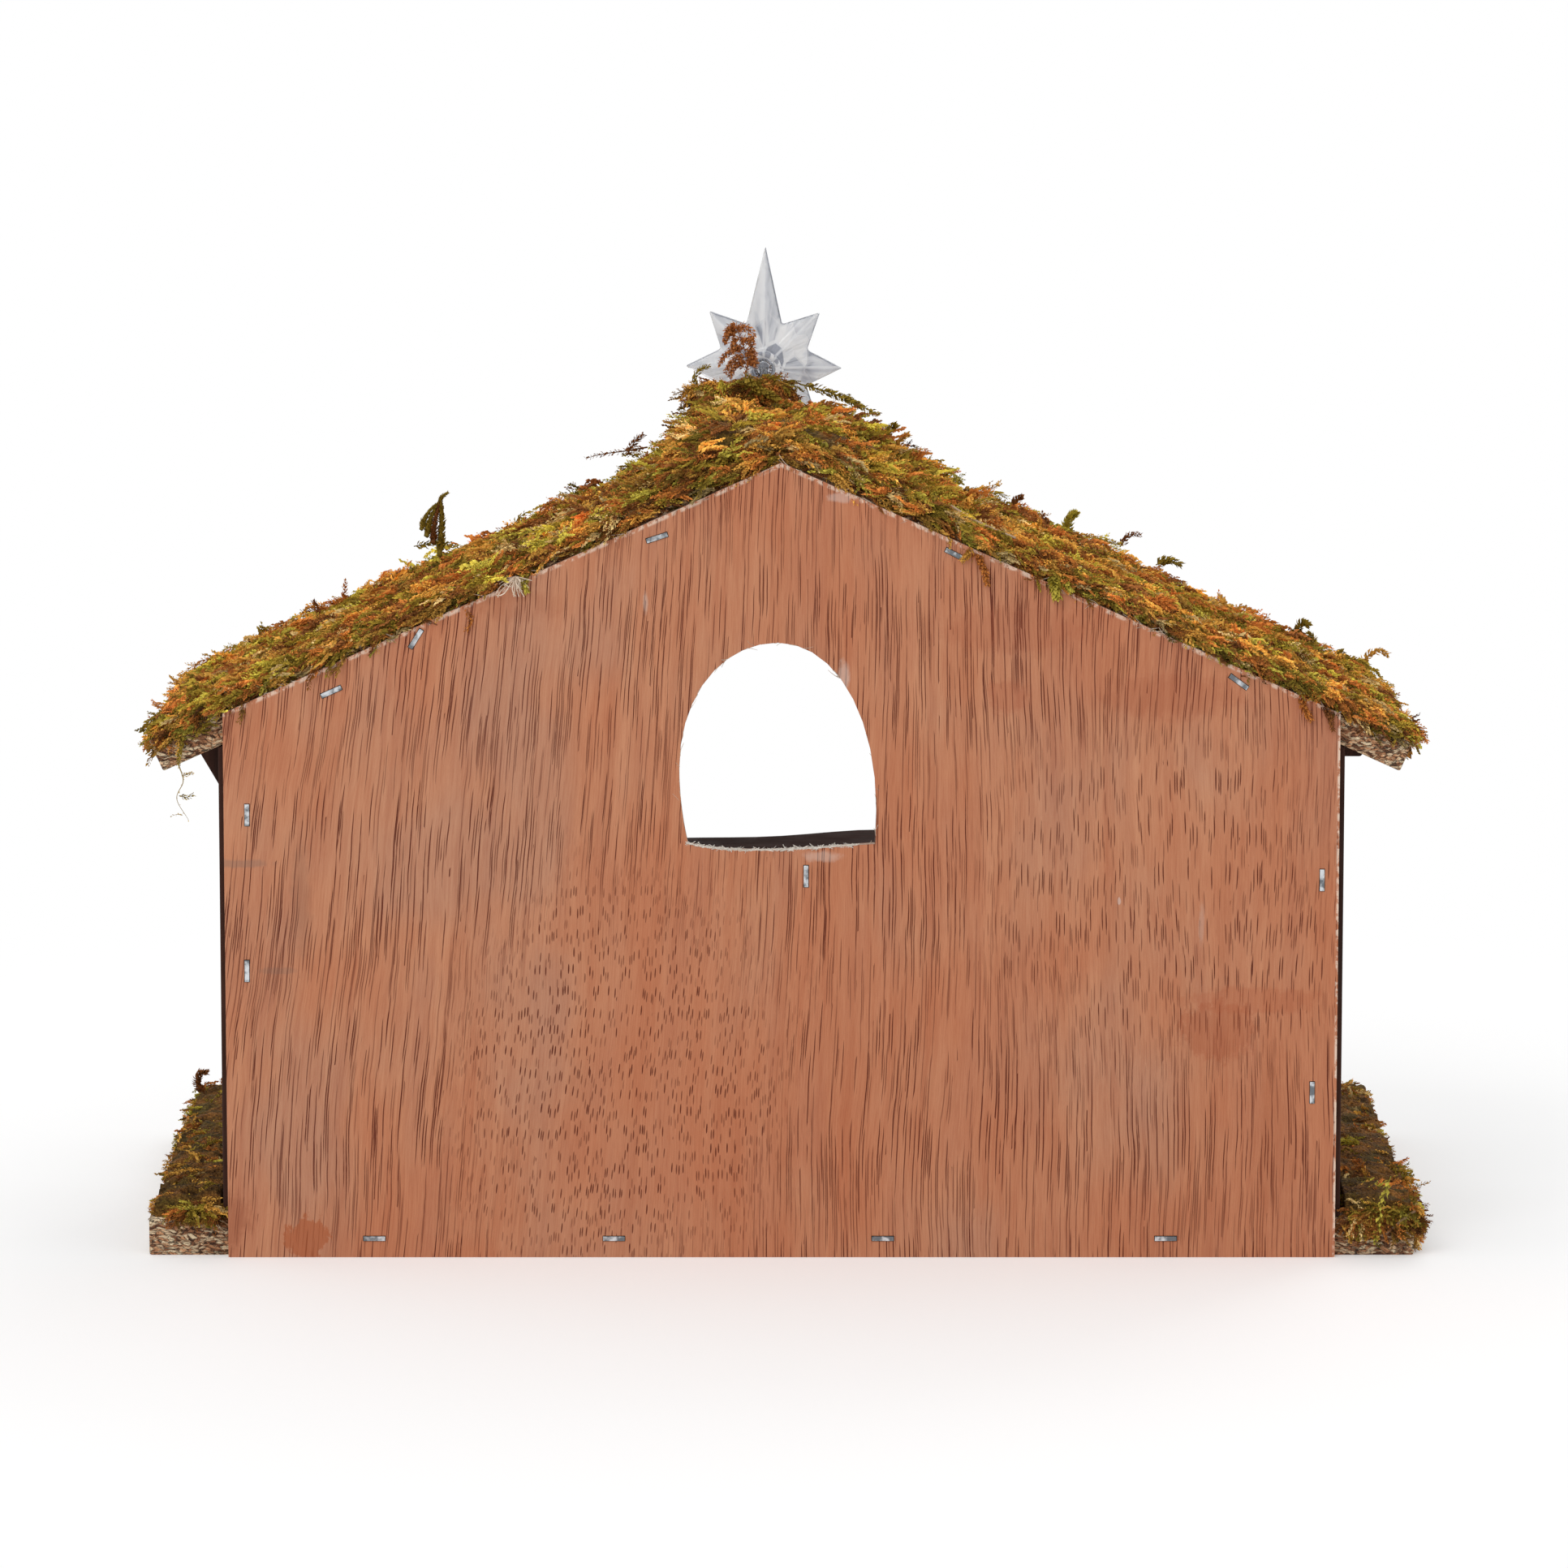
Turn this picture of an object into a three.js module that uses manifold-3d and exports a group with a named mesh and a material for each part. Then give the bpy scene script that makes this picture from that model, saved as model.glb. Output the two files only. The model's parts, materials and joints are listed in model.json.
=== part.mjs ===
// A lighted nativity scene: a small wooden stable with a moss roof, a clear star with a lamp
// in it, a battery case under the ridge, and the figures inside.
// Millimetres. X runs across, Y from the open front (-) to the back panel (+), Z up.
import * as THREE from "three";
import { mergeVertices } from "three/addons/utils/BufferGeometryUtils.js";
import Module from "manifold-3d";

const wasm = await Module();
wasm.setup();

// Fits
const fitGap = 0.3; // between pieces that pass through or slide on each other
const padGap = 0.5; // round the soft pads

// Base board
const baseMargin = 20; // beyond each side wall
const yardDepth = 63; // in front of the roof
const baseThickness = 10.3;

// Roof
const roofPitch = THREE.MathUtils.degToRad(24.25);
const ridgeHeight = 215.8;
const eaves = 18.5; // beyond each side wall
const roofDepth = 104;
const roofThickness = 9.3;

// Back panel
const panelWidth = 297;
const panelThickness = 3;
const panelReveal = 1.6; // how far the roof boards show above the panel

// Window in the panel, an arch that is a little wider than its sill
const windowCentre = 1;
const windowHalfWidth = 26.2;
const windowHeight = 54;
const sillHeight = 112.3;
const sillHalfLeft = 23.9;
const sillHalfRight = 25.9;
const sillSagLeft = 3.4; // pull of the sawn curve below its ends
const sillSagRight = 0.9;
const sillHandle = 0.4; // of the half width
const bulgeLeft = 20; // height over the sill where the arch is widest
const bulgeRight = 9;
const crownFlat = 0.55; // of the half width, where the crown stays level
const archHandle = 0.6; // of the rise from the widest place to the crown

// Side walls and front posts
const wallProud = 1.5; // beyond the panel's edge
const wallThickness = 10.3;
const postSize = 11;
const postChamfer = 1.4;
const postSetback = 3; // behind the roof's front edge

// Knee braces: a bar at the left, a low block that fills the corner at the right
const braceReach = 16.4;
const braceLean = THREE.MathUtils.degToRad(30);
const braceThickness = 8;
const braceBar = { width: 7, drop: 40 }; // drop is the foot's height below the bar's top end
const braceBlock = { width: 24, drop: 8.3 };

// Ridge beam and shelf
const beamWidth = 14;
const beamHeight = 15;
const beamSetback = 2;
const shelfDepth = 44; // to the middle of its wavy front edge
const shelfWave = 7.5;
const shelfWaveLength = 120;
const shelfRipple = 2;
const shelfRippleLength = 51;
const shelfThickness = 8;
const shelfDrop = 4.7; // below the sill

// Staples
const stapleCrown = 5.8;
const stapleWidth = 1.2;
const stapleWire = 0.6;
const stapleLeg = 8;
const stapleProud = 0.35;

// Moss
const mossOnRoof = 5.6;
const mossOnBase = 6.6;
const mossLump = 1.1;
const mossEdge = 14; // over which a pad thins towards its edge
const mossEdgeShare = 0.4; // of the full thickness, left at the very edge
const mossCell = 9; // spacing of the surface points
const moundHalfWidth = 48;
const moundLeftPlace = 18; // from the ridge
const moundLeftRise = 10.5;
const moundLeftSpread = 11;
const moundRightPlace = 17;
const moundRightRise = 6;
const moundRightSpread = 15;
const strawThickness = 2.5;

// Star, lamp and lead
const starRise = 14; // above the ridge
const starShift = 5; // from the ridge, to the left
const starTilt = 0.8; // degrees
const starLongRay = 34;
const starRay = 21.9;
const starValley = 13;
const starRim = 1.2; // half the thickness at the rim
const starFrontBulge = 5;
const starBackBulge = 3.4;
const bossRadius = 5;
const bossLength = 5.2;
const lampRadius = 2.5;
const lampLength = 8.6;
const lampFlange = 0.45;
const lampFlangeLength = 1;
const lampFit = 0.25;
const lampInset = 1.4; // behind the boss's end
const leadWidth = 2.2;
const leadThickness = 1.2;
const leadBend = 1.6;
const leadEase = 0.6; // straight run into a bend
const leadSlack = 0.4; // round the lead in its hole
const leadBehind = 0.6; // gap between the lamp and the lead behind it
const leadRun = 3.4; // height of its run over the ridge

// Battery case for two AAA cells side by side
const cellRadius = 5.25;
const cellLength = 44.5;
const cellNub = 0.8;
const cellNubRadius = 1.9;
const cellEdge = 0.5;
const cellFit = 0.4;
const springRoom = 6.4;
const caseWall = 1.4;
const caseSide = 2.2;
const caseSetback = 3;
const switchBay = 9;
const channelHeight = 2;
const channelDepth = 1.1;
const lipHeight = 1;
const gripRibs = 6;
const gripPitch = 1.8;
const gripDepth = 0.5;
const gripInset = 4; // from the cover's front edge
const gripShare = 0.6; // of the case's inner width
const contactSheet = 0.4;
const contactSize = 8;
const tabWidth = 2;
const tabLength = 2;
const coilRadius = 3.2;
const coilWire = 0.6;
const coilTurns = 3;
const coilTaper = 0.3;

// Switch
const switchTravel = 3;
const switchBodyWidth = 11;
const switchBodyHeight = 5;
const switchBodyDepth = 4.6;
const sliderWidth = 3;
const sliderHeight = 2.2;
const sliderProud = 1.8;
const sliderFoot = 1; // how far the foot spreads past the knob on each side
const sliderFootDepth = 1.6;
const sliderGroove = 0.8;

// Figures
const standingHeight = 78;
const kneelingHeight = 54;
const figureSpread = 37; // from the middle to each figure
const figureBack = 34; // from the roof's front edge
const mangerLength = 32;
const mangerTop = 24;
const mangerHalfWidth = 10;
const mangerBoard = 2;
const mangerBack = 20;
const mangerFootShare = 0.45; // its floor's width over its top's
const mangerLegSpread = 9.5;
const mangerLegInset = 2.5;
const mangerLegRadius = 1.5;
const mangerStrawDrop = 2.2; // below the top edge
const infantLength = 24;
const crookBend = 5;
const staffRadius = 1.1;
const staffHeight = 82;

// Places that follow from the sizes
const pitchSlope = Math.tan(roofPitch);
const roofRise = roofThickness / Math.cos(roofPitch);
const wallOuter = panelWidth / 2 + wallProud;
const wallInner = wallOuter - wallThickness;
const baseWidth = 2 * (wallOuter + baseMargin);
const baseDepth = roofDepth + yardDepth;
const roofSpan = 2 * (wallOuter + eaves);
const frontY = -(baseDepth + panelThickness) / 2;
const panelInner = frontY + baseDepth;
const panelOuter = panelInner + panelThickness;
const roofFront = panelInner - roofDepth;
const postFront = roofFront + postSetback;
const postBack = postFront + postSize;
const roofTop = (x) => ridgeHeight - pitchSlope * Math.abs(x);
const roofUnder = (x) => roofTop(x) - roofRise;
const beamBottom = roofUnder(0) - beamHeight;
const shelfTop = sillHeight - shelfDrop;
const floorTop = baseThickness + strawThickness;
const caseFront = roofFront + caseSetback;
const cellPitch = 2 * cellRadius + cellFit;
const caseInnerHalf = cellPitch / 2 + cellRadius + cellFit;
const caseHalf = caseInnerHalf + caseSide;
const bayFront = caseFront + 2 * caseWall + switchBay;
const bayLength = cellLength + springRoom;
const bayBack = bayFront + bayLength;
const caseBack = bayBack + caseWall;
const bayTop = beamBottom - caseWall;
const channelTop = bayTop - 2 * (cellRadius + cellFit);
const caseBottom = channelTop - channelHeight - lipHeight;
const cellHeight = bayTop - cellFit - cellRadius;
const leadY = bayFront - caseWall - switchBay / 2 + leadThickness;
const starHeight = ridgeHeight + starRise;
const starPlane = roofFront - fitGap - starBackBulge;
const bossEnd = starPlane + starBackBulge + bossLength;
const lampBack = bossEnd - lampInset;

// Materials
function finish(colour, roughness, metalness = 0, opacity = 1) {
  return new THREE.MeshStandardMaterial({
    color: colour,
    roughness,
    metalness,
    opacity,
    transparent: opacity < 1,
    flatShading: true,
  });
}
const plywood = finish(0xbc7a5e, 0.7);
const chipboard = finish(0xa88a68, 0.85);
const darkWood = finish(0x3c2823, 0.75);
const moss = finish(0x7a6a22, 0.95);
const straw = finish(0xc9a65a, 0.9);
const steel = finish(0x9aa0a6, 0.35, 0.9);
const clearPlastic = finish(0xdfe6ee, 0.08, 0, 0.4);
const lampPlastic = finish(0xf6f2e2, 0.15);
const blackPlastic = finish(0x1c1c1e, 0.45);
const leadPlastic = finish(0xc8beaa, 0.35);
const cellWrap = finish(0x3e5a66, 0.35, 0.3);
const blueRobe = finish(0x3f6287, 0.6);
const brownRobe = finish(0x7b4f31, 0.6);
const creamCloth = finish(0xe6d9bd, 0.65);

// Solids
function solidOf(geometry) {
  const bare = new THREE.BufferGeometry();
  bare.setAttribute("position", geometry.getAttribute("position"));
  if (geometry.index) bare.setIndex(geometry.index);
  const merged = mergeVertices(bare, 1e-4);
  const index = merged.index.array;
  const faces = [];
  for (let i = 0; i < index.length; i += 3) {
    const [a, b, c] = [index[i], index[i + 1], index[i + 2]];
    if (a !== b && b !== c && c !== a) faces.push(a, b, c);
  }
  const build = (triangles) =>
    new wasm.Manifold(
      new wasm.Mesh({
        numProp: 3,
        vertProperties: merged.attributes.position.array,
        triVerts: Uint32Array.from(triangles),
      }),
    );
  const solid = build(faces);
  return solid.volume() < 0 ? build(faces.reverse()) : solid;
}

function geometryOf(solid) {
  const mesh = solid.getMesh();
  const geometry = new THREE.BufferGeometry();
  const points = new THREE.BufferAttribute(mesh.vertProperties.slice(), 3);
  geometry.setAttribute("position", points);
  geometry.setIndex(Array.from(mesh.triVerts));
  return geometry;
}

const union = (solids) => solids.reduce((whole, piece) => whole.add(piece));

function block(x0, x1, y0, y1, z0, z1) {
  const box = new THREE.BoxGeometry(x1 - x0, y1 - y0, z1 - z0);
  return solidOf(box.translate((x0 + x1) / 2, (y0 + y1) / 2, (z0 + z1) / 2));
}

function shapeOf(points) {
  return new THREE.Shape(points.map(([x, z]) => new THREE.Vector2(x, z)));
}

// A profile in X and Z, carried from y0 to y1
function alongY(shape, y0, y1, curveSegments = 12) {
  const depth = y1 - y0;
  const body = new THREE.ExtrudeGeometry(shape, { depth, bevelEnabled: false, curveSegments });
  return solidOf(body.rotateX(Math.PI / 2).translate(0, y1, 0));
}

// A round rod along Y or Z
function rodY(radius, x, z, y0, y1, sides = 20) {
  const rod = new THREE.CylinderGeometry(radius, radius, y1 - y0, sides);
  return solidOf(rod.translate(x, (y0 + y1) / 2, z));
}
function rodZ(radius, x, y, z0, z1, sides = 16) {
  const rod = new THREE.CylinderGeometry(radius, radius, z1 - z0, sides);
  return solidOf(rod.rotateX(Math.PI / 2).translate(x, y, (z0 + z1) / 2));
}

// A profile of [radius, height] turned about Z
function turned(profile, sides) {
  const points = profile.map(([r, h]) => new THREE.Vector2(r, h));
  return new THREE.LatheGeometry(points, sides).rotateX(Math.PI / 2);
}

function ellipsoid(size, place, wide = 12, high = 8) {
  const ball = new THREE.SphereGeometry(1, wide, high).rotateX(Math.PI / 2);
  return solidOf(ball.scale(...size).translate(...place));
}

// A tapered limb with round ends between two points
function limb(from, to, r0, r1, sides = 8) {
  const start = new THREE.Vector3(...from);
  const run = new THREE.Vector3(...to).sub(start);
  const length = run.length();
  const arcSteps = 2;
  const profile = [];
  for (let i = 0; i <= arcSteps; i++) {
    const a = (i / arcSteps - 1) * (Math.PI / 2);
    profile.push([r0 * Math.cos(a), r0 * Math.sin(a)]);
  }
  for (let i = 0; i <= arcSteps; i++) {
    const a = (i / arcSteps) * (Math.PI / 2);
    profile.push([r1 * Math.cos(a), length + r1 * Math.sin(a)]);
  }
  profile[0][0] = 0;
  profile[profile.length - 1][0] = 0;
  const up = new THREE.Vector3(0, 0, 1);
  const turn = new THREE.Quaternion().setFromUnitVectors(up, run.normalize());
  return solidOf(turned(profile, sides).applyQuaternion(turn).translate(...from));
}

// A section to carry along a curve
function ovalSection(halfAcross, halfAlong, sides) {
  const outline = new THREE.EllipseCurve(0, 0, halfAcross, halfAlong).getPoints(sides);
  return new THREE.Shape(outline.slice(0, -1));
}
const roundSection = (radius, sides) => ovalSection(radius, radius, sides);

function piece(name, solid, material) {
  const mesh = new THREE.Mesh(geometryOf(solid), material);
  mesh.name = name;
  return mesh;
}

// Everything above the roof boards' underside, to trim what stands below them
function roofSpace() {
  const far = roofSpan;
  const profile = [
    [0, roofUnder(0) - fitGap],
    [far, roofUnder(far) - fitGap],
    [far, ridgeHeight * 2],
    [-far, ridgeHeight * 2],
    [-far, roofUnder(far) - fitGap],
  ];
  return alongY(shapeOf(profile), frontY - far, panelOuter + far);
}
const aboveRoof = roofSpace();

// Staples on the panel's back, placed by hand: along the panel's half width, and then down the
// roof board's thickness, or into the wall's thickness and up its height. turn is the crown's.
const deg = THREE.MathUtils.degToRad;
const panelTop = (x) => roofTop(x) - panelReveal;
const panelX = (share) => (share * panelWidth) / 2;
const roofStaple = (along, down, turn) => ({
  x: panelX(along),
  z: panelTop(panelX(along)) - down * roofThickness,
  turn: deg(turn),
});
const wallStaple = (side, into, up) => ({
  x: side * (wallOuter - into * wallThickness),
  z: up * roofUnder(wallOuter),
  turn: deg(90),
});
const baseStaple = (along) => ({ x: panelX(along), z: baseThickness / 2, turn: 0 });
const stapleSets = {
  roof_left: [roofStaple(0.805, 0.77, -24), roofStaple(0.653, 0.34, -58), roofStaple(0.222, 0.54, -18)],
  roof_right: [roofStaple(-0.31, 0.39, 27), roofStaple(-0.817, 0.4, 36)],
  wall_left: [wallStaple(1, 0.75, 0.87), wallStaple(1, 0.71, 0.565)],
  wall_right: [wallStaple(-1, 0.58, 0.743), wallStaple(-1, 0.78, 0.326)],
  base: [baseStaple(0.736), baseStaple(0.303), baseStaple(-0.183), baseStaple(-0.694)],
  shelf: [{ x: panelX(-0.044), z: shelfTop - shelfThickness / 2, turn: deg(90) }],
};

// One staple, its wire grown by a clearance where it is the hole for it
function staple({ x, z, turn }, grow) {
  const reach = stapleCrown / 2 + grow;
  const half = stapleWidth / 2 + grow;
  const crownBack = panelOuter + stapleProud;
  const crownFront = crownBack - stapleWire - grow;
  const legTip = panelOuter - stapleLeg - grow;
  const legs = [-1, 1].map((side) => {
    const outer = side * reach;
    const inner = side * (stapleCrown / 2 - stapleWire - grow);
    const [x0, x1] = [Math.min(outer, inner), Math.max(outer, inner)];
    return block(x0, x1, legTip, crownFront + stapleWire / 2, -half, half);
  });
  const crown = block(-reach, reach, crownFront, crownBack, -half, half);
  const turnDegrees = THREE.MathUtils.radToDeg(-turn);
  return union([crown, ...legs]).rotate([0, turnDegrees, 0]).translate([x, 0, z]);
}
const holesFor = (set) => union(set.map((place) => staple(place, fitGap / 2)));

function staplePieces() {
  return Object.entries(stapleSets).flatMap(([set, places]) =>
    places.map((place, i) => piece("staple_" + set + "_" + (i + 1), staple(place, 0), steel)),
  );
}

// Base board and back panel
function baseBoard() {
  const board = block(-baseWidth / 2, baseWidth / 2, frontY, panelInner, 0, baseThickness);
  return board.subtract(holesFor(stapleSets.base));
}

function windowShape() {
  const c = windowCentre;
  const crown = sillHeight + windowHeight;
  const leftBulge = sillHeight + bulgeLeft;
  const rightBulge = sillHeight + bulgeRight;
  const shape = new THREE.Shape();
  shape.moveTo(c - sillHalfRight, sillHeight);
  shape.bezierCurveTo(
    c - sillHandle * sillHalfRight,
    sillHeight - sillSagRight,
    c + sillHandle * sillHalfLeft,
    sillHeight - sillSagLeft,
    c + sillHalfLeft,
    sillHeight,
  );
  shape.quadraticCurveTo(
    c + windowHalfWidth,
    sillHeight + bulgeLeft / 2,
    c + windowHalfWidth,
    leftBulge,
  );
  shape.bezierCurveTo(
    c + windowHalfWidth,
    leftBulge + archHandle * (crown - leftBulge),
    c + crownFlat * windowHalfWidth,
    crown,
    c,
    crown,
  );
  shape.bezierCurveTo(
    c - crownFlat * windowHalfWidth,
    crown,
    c - windowHalfWidth,
    rightBulge + archHandle * (crown - rightBulge),
    c - windowHalfWidth,
    rightBulge,
  );
  shape.lineTo(c - sillHalfRight, sillHeight);
  return shape;
}

function backPanel() {
  const half = panelWidth / 2;
  const outline = [
    [-half, 0],
    [half, 0],
    [half, panelTop(half)],
    [0, panelTop(0)],
    [-half, panelTop(half)],
  ];
  const sheet = alongY(shapeOf(outline), panelInner, panelOuter);
  const hole = alongY(windowShape(), panelInner - panelThickness, panelOuter + panelThickness, 9);
  return sheet.subtract(hole).subtract(holesFor(Object.values(stapleSets).flat()));
}

// Walls, posts and braces. side is 1 at +X and -1 at -X.
function sideWall(side, set) {
  const [x0, x1] = side > 0 ? [wallInner, wallOuter] : [-wallOuter, -wallInner];
  const board = block(x0, x1, postBack, panelInner, baseThickness, ridgeHeight);
  return board.subtract(aboveRoof).subtract(holesFor(set));
}

function frontPost(side) {
  const half = postSize / 2;
  const cut = half - postChamfer;
  const corners = [
    [cut, -half],
    [half, -cut],
    [half, cut],
    [cut, half],
    [-cut, half],
    [-half, cut],
    [-half, -cut],
    [-cut, -half],
  ];
  const depth = ridgeHeight - baseThickness;
  const stick = new THREE.ExtrudeGeometry(shapeOf(corners), { depth, bevelEnabled: false });
  stick.translate(side * (wallOuter - half), (postFront + postBack) / 2, baseThickness);
  return solidOf(stick).subtract(aboveRoof);
}

function kneeBrace(side, { width, drop }) {
  const across = width / Math.cos(braceLean);
  const topX = wallOuter + braceReach;
  const topZ = roofUnder(topX);
  const fall = 1 / Math.tan(braceLean);
  const far = ridgeHeight;
  const bar = [
    [topX - far, topZ - far * fall],
    [topX + far, topZ + far * fall],
    [topX + far - across, topZ + far * fall],
    [topX - far - across, topZ - far * fall],
  ];
  const middle = (postFront + postBack) / 2;
  const [y0, y1] = [middle - braceThickness / 2, middle + braceThickness / 2];
  const foot = topZ - drop;
  const room = block(wallOuter, wallOuter + far, y0, y1, foot, ridgeHeight);
  const brace = alongY(shapeOf(bar), y0, y1).intersect(room).subtract(aboveRoof);
  return side > 0 ? brace : brace.mirror([1, 0, 0]);
}

// Roof boards, mitred at the ridge, and the beam under them
function leadHole() {
  return rodZ(leadWidth / 2 + fitGap + leadSlack, 0, leadY, caseBottom, ridgeHeight + roofRise);
}

function roofBoard(side, set) {
  const end = roofSpan / 2;
  const outline = [
    [0, roofTop(0)],
    [end, roofTop(end)],
    [end - roofThickness * Math.sin(roofPitch), roofTop(end) - roofThickness * Math.cos(roofPitch)],
    [0, roofUnder(0)],
  ];
  const shape = shapeOf(outline.map(([x, z]) => [side * x, z]));
  return alongY(shape, roofFront, panelInner).subtract(leadHole()).subtract(holesFor(set));
}

function ridgeBeam() {
  const half = beamWidth / 2;
  const stick = block(-half, half, roofFront + beamSetback, panelInner, beamBottom, ridgeHeight);
  return stick.subtract(aboveRoof).subtract(leadHole());
}

// The shelf's front keeps the wavy edge of the log
function hayShelf() {
  const end = wallInner - fitGap;
  const steps = 40;
  const outline = [[end, panelInner], [-end, panelInner]];
  for (let i = 0; i <= steps; i++) {
    const x = end * ((2 * i) / steps - 1);
    const wave = shelfWave * Math.sin((2 * Math.PI * x) / shelfWaveLength);
    const ripple = shelfRipple * Math.cos((2 * Math.PI * x) / shelfRippleLength);
    outline.push([x, panelInner - shelfDepth + wave + ripple]);
  }
  const depth = shelfThickness;
  const plank = new THREE.ExtrudeGeometry(shapeOf(outline), { depth, bevelEnabled: false });
  return solidOf(plank.translate(0, 0, shelfTop - depth)).subtract(holesFor(stapleSets.shelf));
}

// Moss pads: a lumpy surface over a rectangle, thinner towards its free edges
const lumps = (x, y) =>
  Math.sin(x / 7.3 + 1.7 * Math.sin(y / 11)) * Math.cos(y / 6.1 + 1.3 * Math.sin(x / 13));

function pad([x0, x1], [y0, y1], floor, thickness, evenX = false) {
  let across = Math.max(2, Math.round((x1 - x0) / mossCell));
  if (evenX && across % 2) across += 1;
  const along = Math.max(2, Math.round((y1 - y0) / mossCell));
  const points = [];
  for (const top of [0, 1]) {
    for (let j = 0; j <= along; j++) {
      for (let i = 0; i <= across; i++) {
        const x = x0 + ((x1 - x0) * i) / across;
        const y = y0 + ((y1 - y0) * j) / along;
        points.push(x, y, floor(x, y) + top * thickness(x, y));
      }
    }
  }
  const row = across + 1;
  const layer = row * (along + 1);
  const faces = [];
  const quad = (a, b, c, d) => faces.push(a, b, c, a, c, d);
  for (let j = 0; j < along; j++) {
    for (let i = 0; i < across; i++) {
      const a = j * row + i;
      quad(a, a + row, a + row + 1, a + 1);
      quad(layer + a, layer + a + 1, layer + a + row + 1, layer + a + row);
    }
  }
  for (let i = 0; i < across; i++) {
    const last = along * row + i;
    quad(i, i + 1, layer + i + 1, layer + i);
    quad(last + 1, last, layer + last, layer + last + 1);
  }
  for (let j = 0; j < along; j++) {
    const a = j * row;
    const b = a + across;
    quad(a + row, a, layer + a, layer + a + row);
    quad(b, b + row, layer + b + row, layer + b);
  }
  const surface = new THREE.BufferGeometry();
  surface.setAttribute("position", new THREE.BufferAttribute(new Float32Array(points), 3));
  surface.setIndex(faces);
  return solidOf(surface);
}

// Share of the full thickness, by the distance to the nearest edge
function thinning(distance) {
  const share = Math.min(1, Math.max(0, distance) / mossEdge);
  return mossEdgeShare + (1 - mossEdgeShare) * Math.sin((share * Math.PI) / 2);
}

const onRoof = (x) => roofTop(x) + fitGap;
const roofMossEnd = roofSpan / 2 - padGap;

function roofMoss(side) {
  const inner = moundHalfWidth + padGap;
  const span = side > 0 ? [inner, roofMossEnd] : [-roofMossEnd, -inner];
  const thickness = (x, y) => {
    const toEdge = Math.min(y - roofFront, panelInner - y, roofMossEnd - Math.abs(x));
    return mossOnRoof * thinning(toEdge) + mossLump * lumps(x, y);
  };
  return pad(span, [roofFront, panelInner], onRoof, thickness);
}

function ridgeMoss() {
  const bulge = (away, rise, spread) => rise * Math.exp(-((away / spread) ** 2));
  const thickness = (x, y) => {
    const toEdge = Math.min(y - roofFront, panelInner - y);
    const left = bulge(x - moundLeftPlace, moundLeftRise, moundLeftSpread);
    const right = bulge(x + moundRightPlace, moundRightRise, moundRightSpread);
    return (mossOnRoof + Math.max(left, right)) * thinning(toEdge) + mossLump * lumps(x, y);
  };
  const span = [-moundHalfWidth, moundHalfWidth];
  const mass = pad(span, [roofFront, panelInner], onRoof, thickness, true);
  const bossRoom = rodY(bossRadius + padGap, starShift, starHeight, roofFront - 1, bossEnd + padGap);
  const shaft = leadHole().add(leadTube(2 * padGap));
  return mass.subtract(bossRoom).subtract(shaft);
}

function baseMoss(spanX, spanY) {
  const half = baseWidth / 2;
  const thickness = (x, y) => {
    const toEdge = Math.min(y - frontY, half - Math.abs(x), panelInner - y);
    return mossOnBase * thinning(toEdge + mossEdge / 3) + mossLump * lumps(x, y);
  };
  return pad(spanX, spanY, () => baseThickness, thickness);
}

function strawFloor() {
  const end = Math.min(wallInner, wallOuter - postSize) - padGap;
  return block(-end, end, postFront, panelInner - padGap, baseThickness, floorTop);
}

// Star: eight rays with a ridge along each, a boss behind and the bore for the lamp
function starBody() {
  const rays = 8;
  const corners = [];
  for (let i = 0; i < 2 * rays; i++) {
    const angle = (i * Math.PI) / rays;
    const long = i % rays === 0;
    const radius = i % 2 ? starValley : long ? starLongRay : starRay;
    corners.push([radius * Math.sin(angle), radius * Math.cos(angle)]);
  }
  const points = [0, -starFrontBulge, 0, 0, starBackBulge, 0];
  for (const side of [-1, 1]) {
    for (const [x, z] of corners) points.push(x, side * starRim, z);
  }
  const faces = [];
  const count = corners.length;
  for (let i = 0; i < count; i++) {
    const next = (i + 1) % count;
    const front = 2 + i;
    const frontNext = 2 + next;
    faces.push(0, front, frontNext);
    faces.push(1, frontNext + count, front + count);
    faces.push(front, front + count, frontNext + count);
    faces.push(front, frontNext + count, frontNext);
  }
  const body = new THREE.BufferGeometry();
  body.setAttribute("position", new THREE.BufferAttribute(new Float32Array(points), 3));
  body.setIndex(faces);
  return solidOf(body).rotate([0, -starTilt, 0]).translate([starShift, starPlane, starHeight]);
}

function star() {
  const bossStart = starPlane;
  const boss = rodY(bossRadius, starShift, starHeight, bossStart, bossEnd, 24);
  const boreEnd = lampBack - lampLength - lampFit;
  const bore = rodY(lampRadius + lampFit, starShift, starHeight, boreEnd, bossEnd + 1, 20);
  const flange = lampRadius + lampFlange + lampFit;
  const seatEnd = lampBack - lampFlangeLength - lampFit;
  const seat = rodY(flange, starShift, starHeight, seatEnd, bossEnd + 1);
  const slotHalf = leadWidth / 2 + fitGap;
  const [slotLeft, slotRight] = [starShift + slotHalf, starShift - slotHalf];
  const slotFront = lampBack - fitGap;
  const slotBottom = starHeight - bossRadius - 1;
  const slot = block(slotRight, slotLeft, slotFront, bossEnd + 1, slotBottom, starHeight);
  return starBody().add(boss).subtract(bore).subtract(seat).subtract(slot);
}

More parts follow.
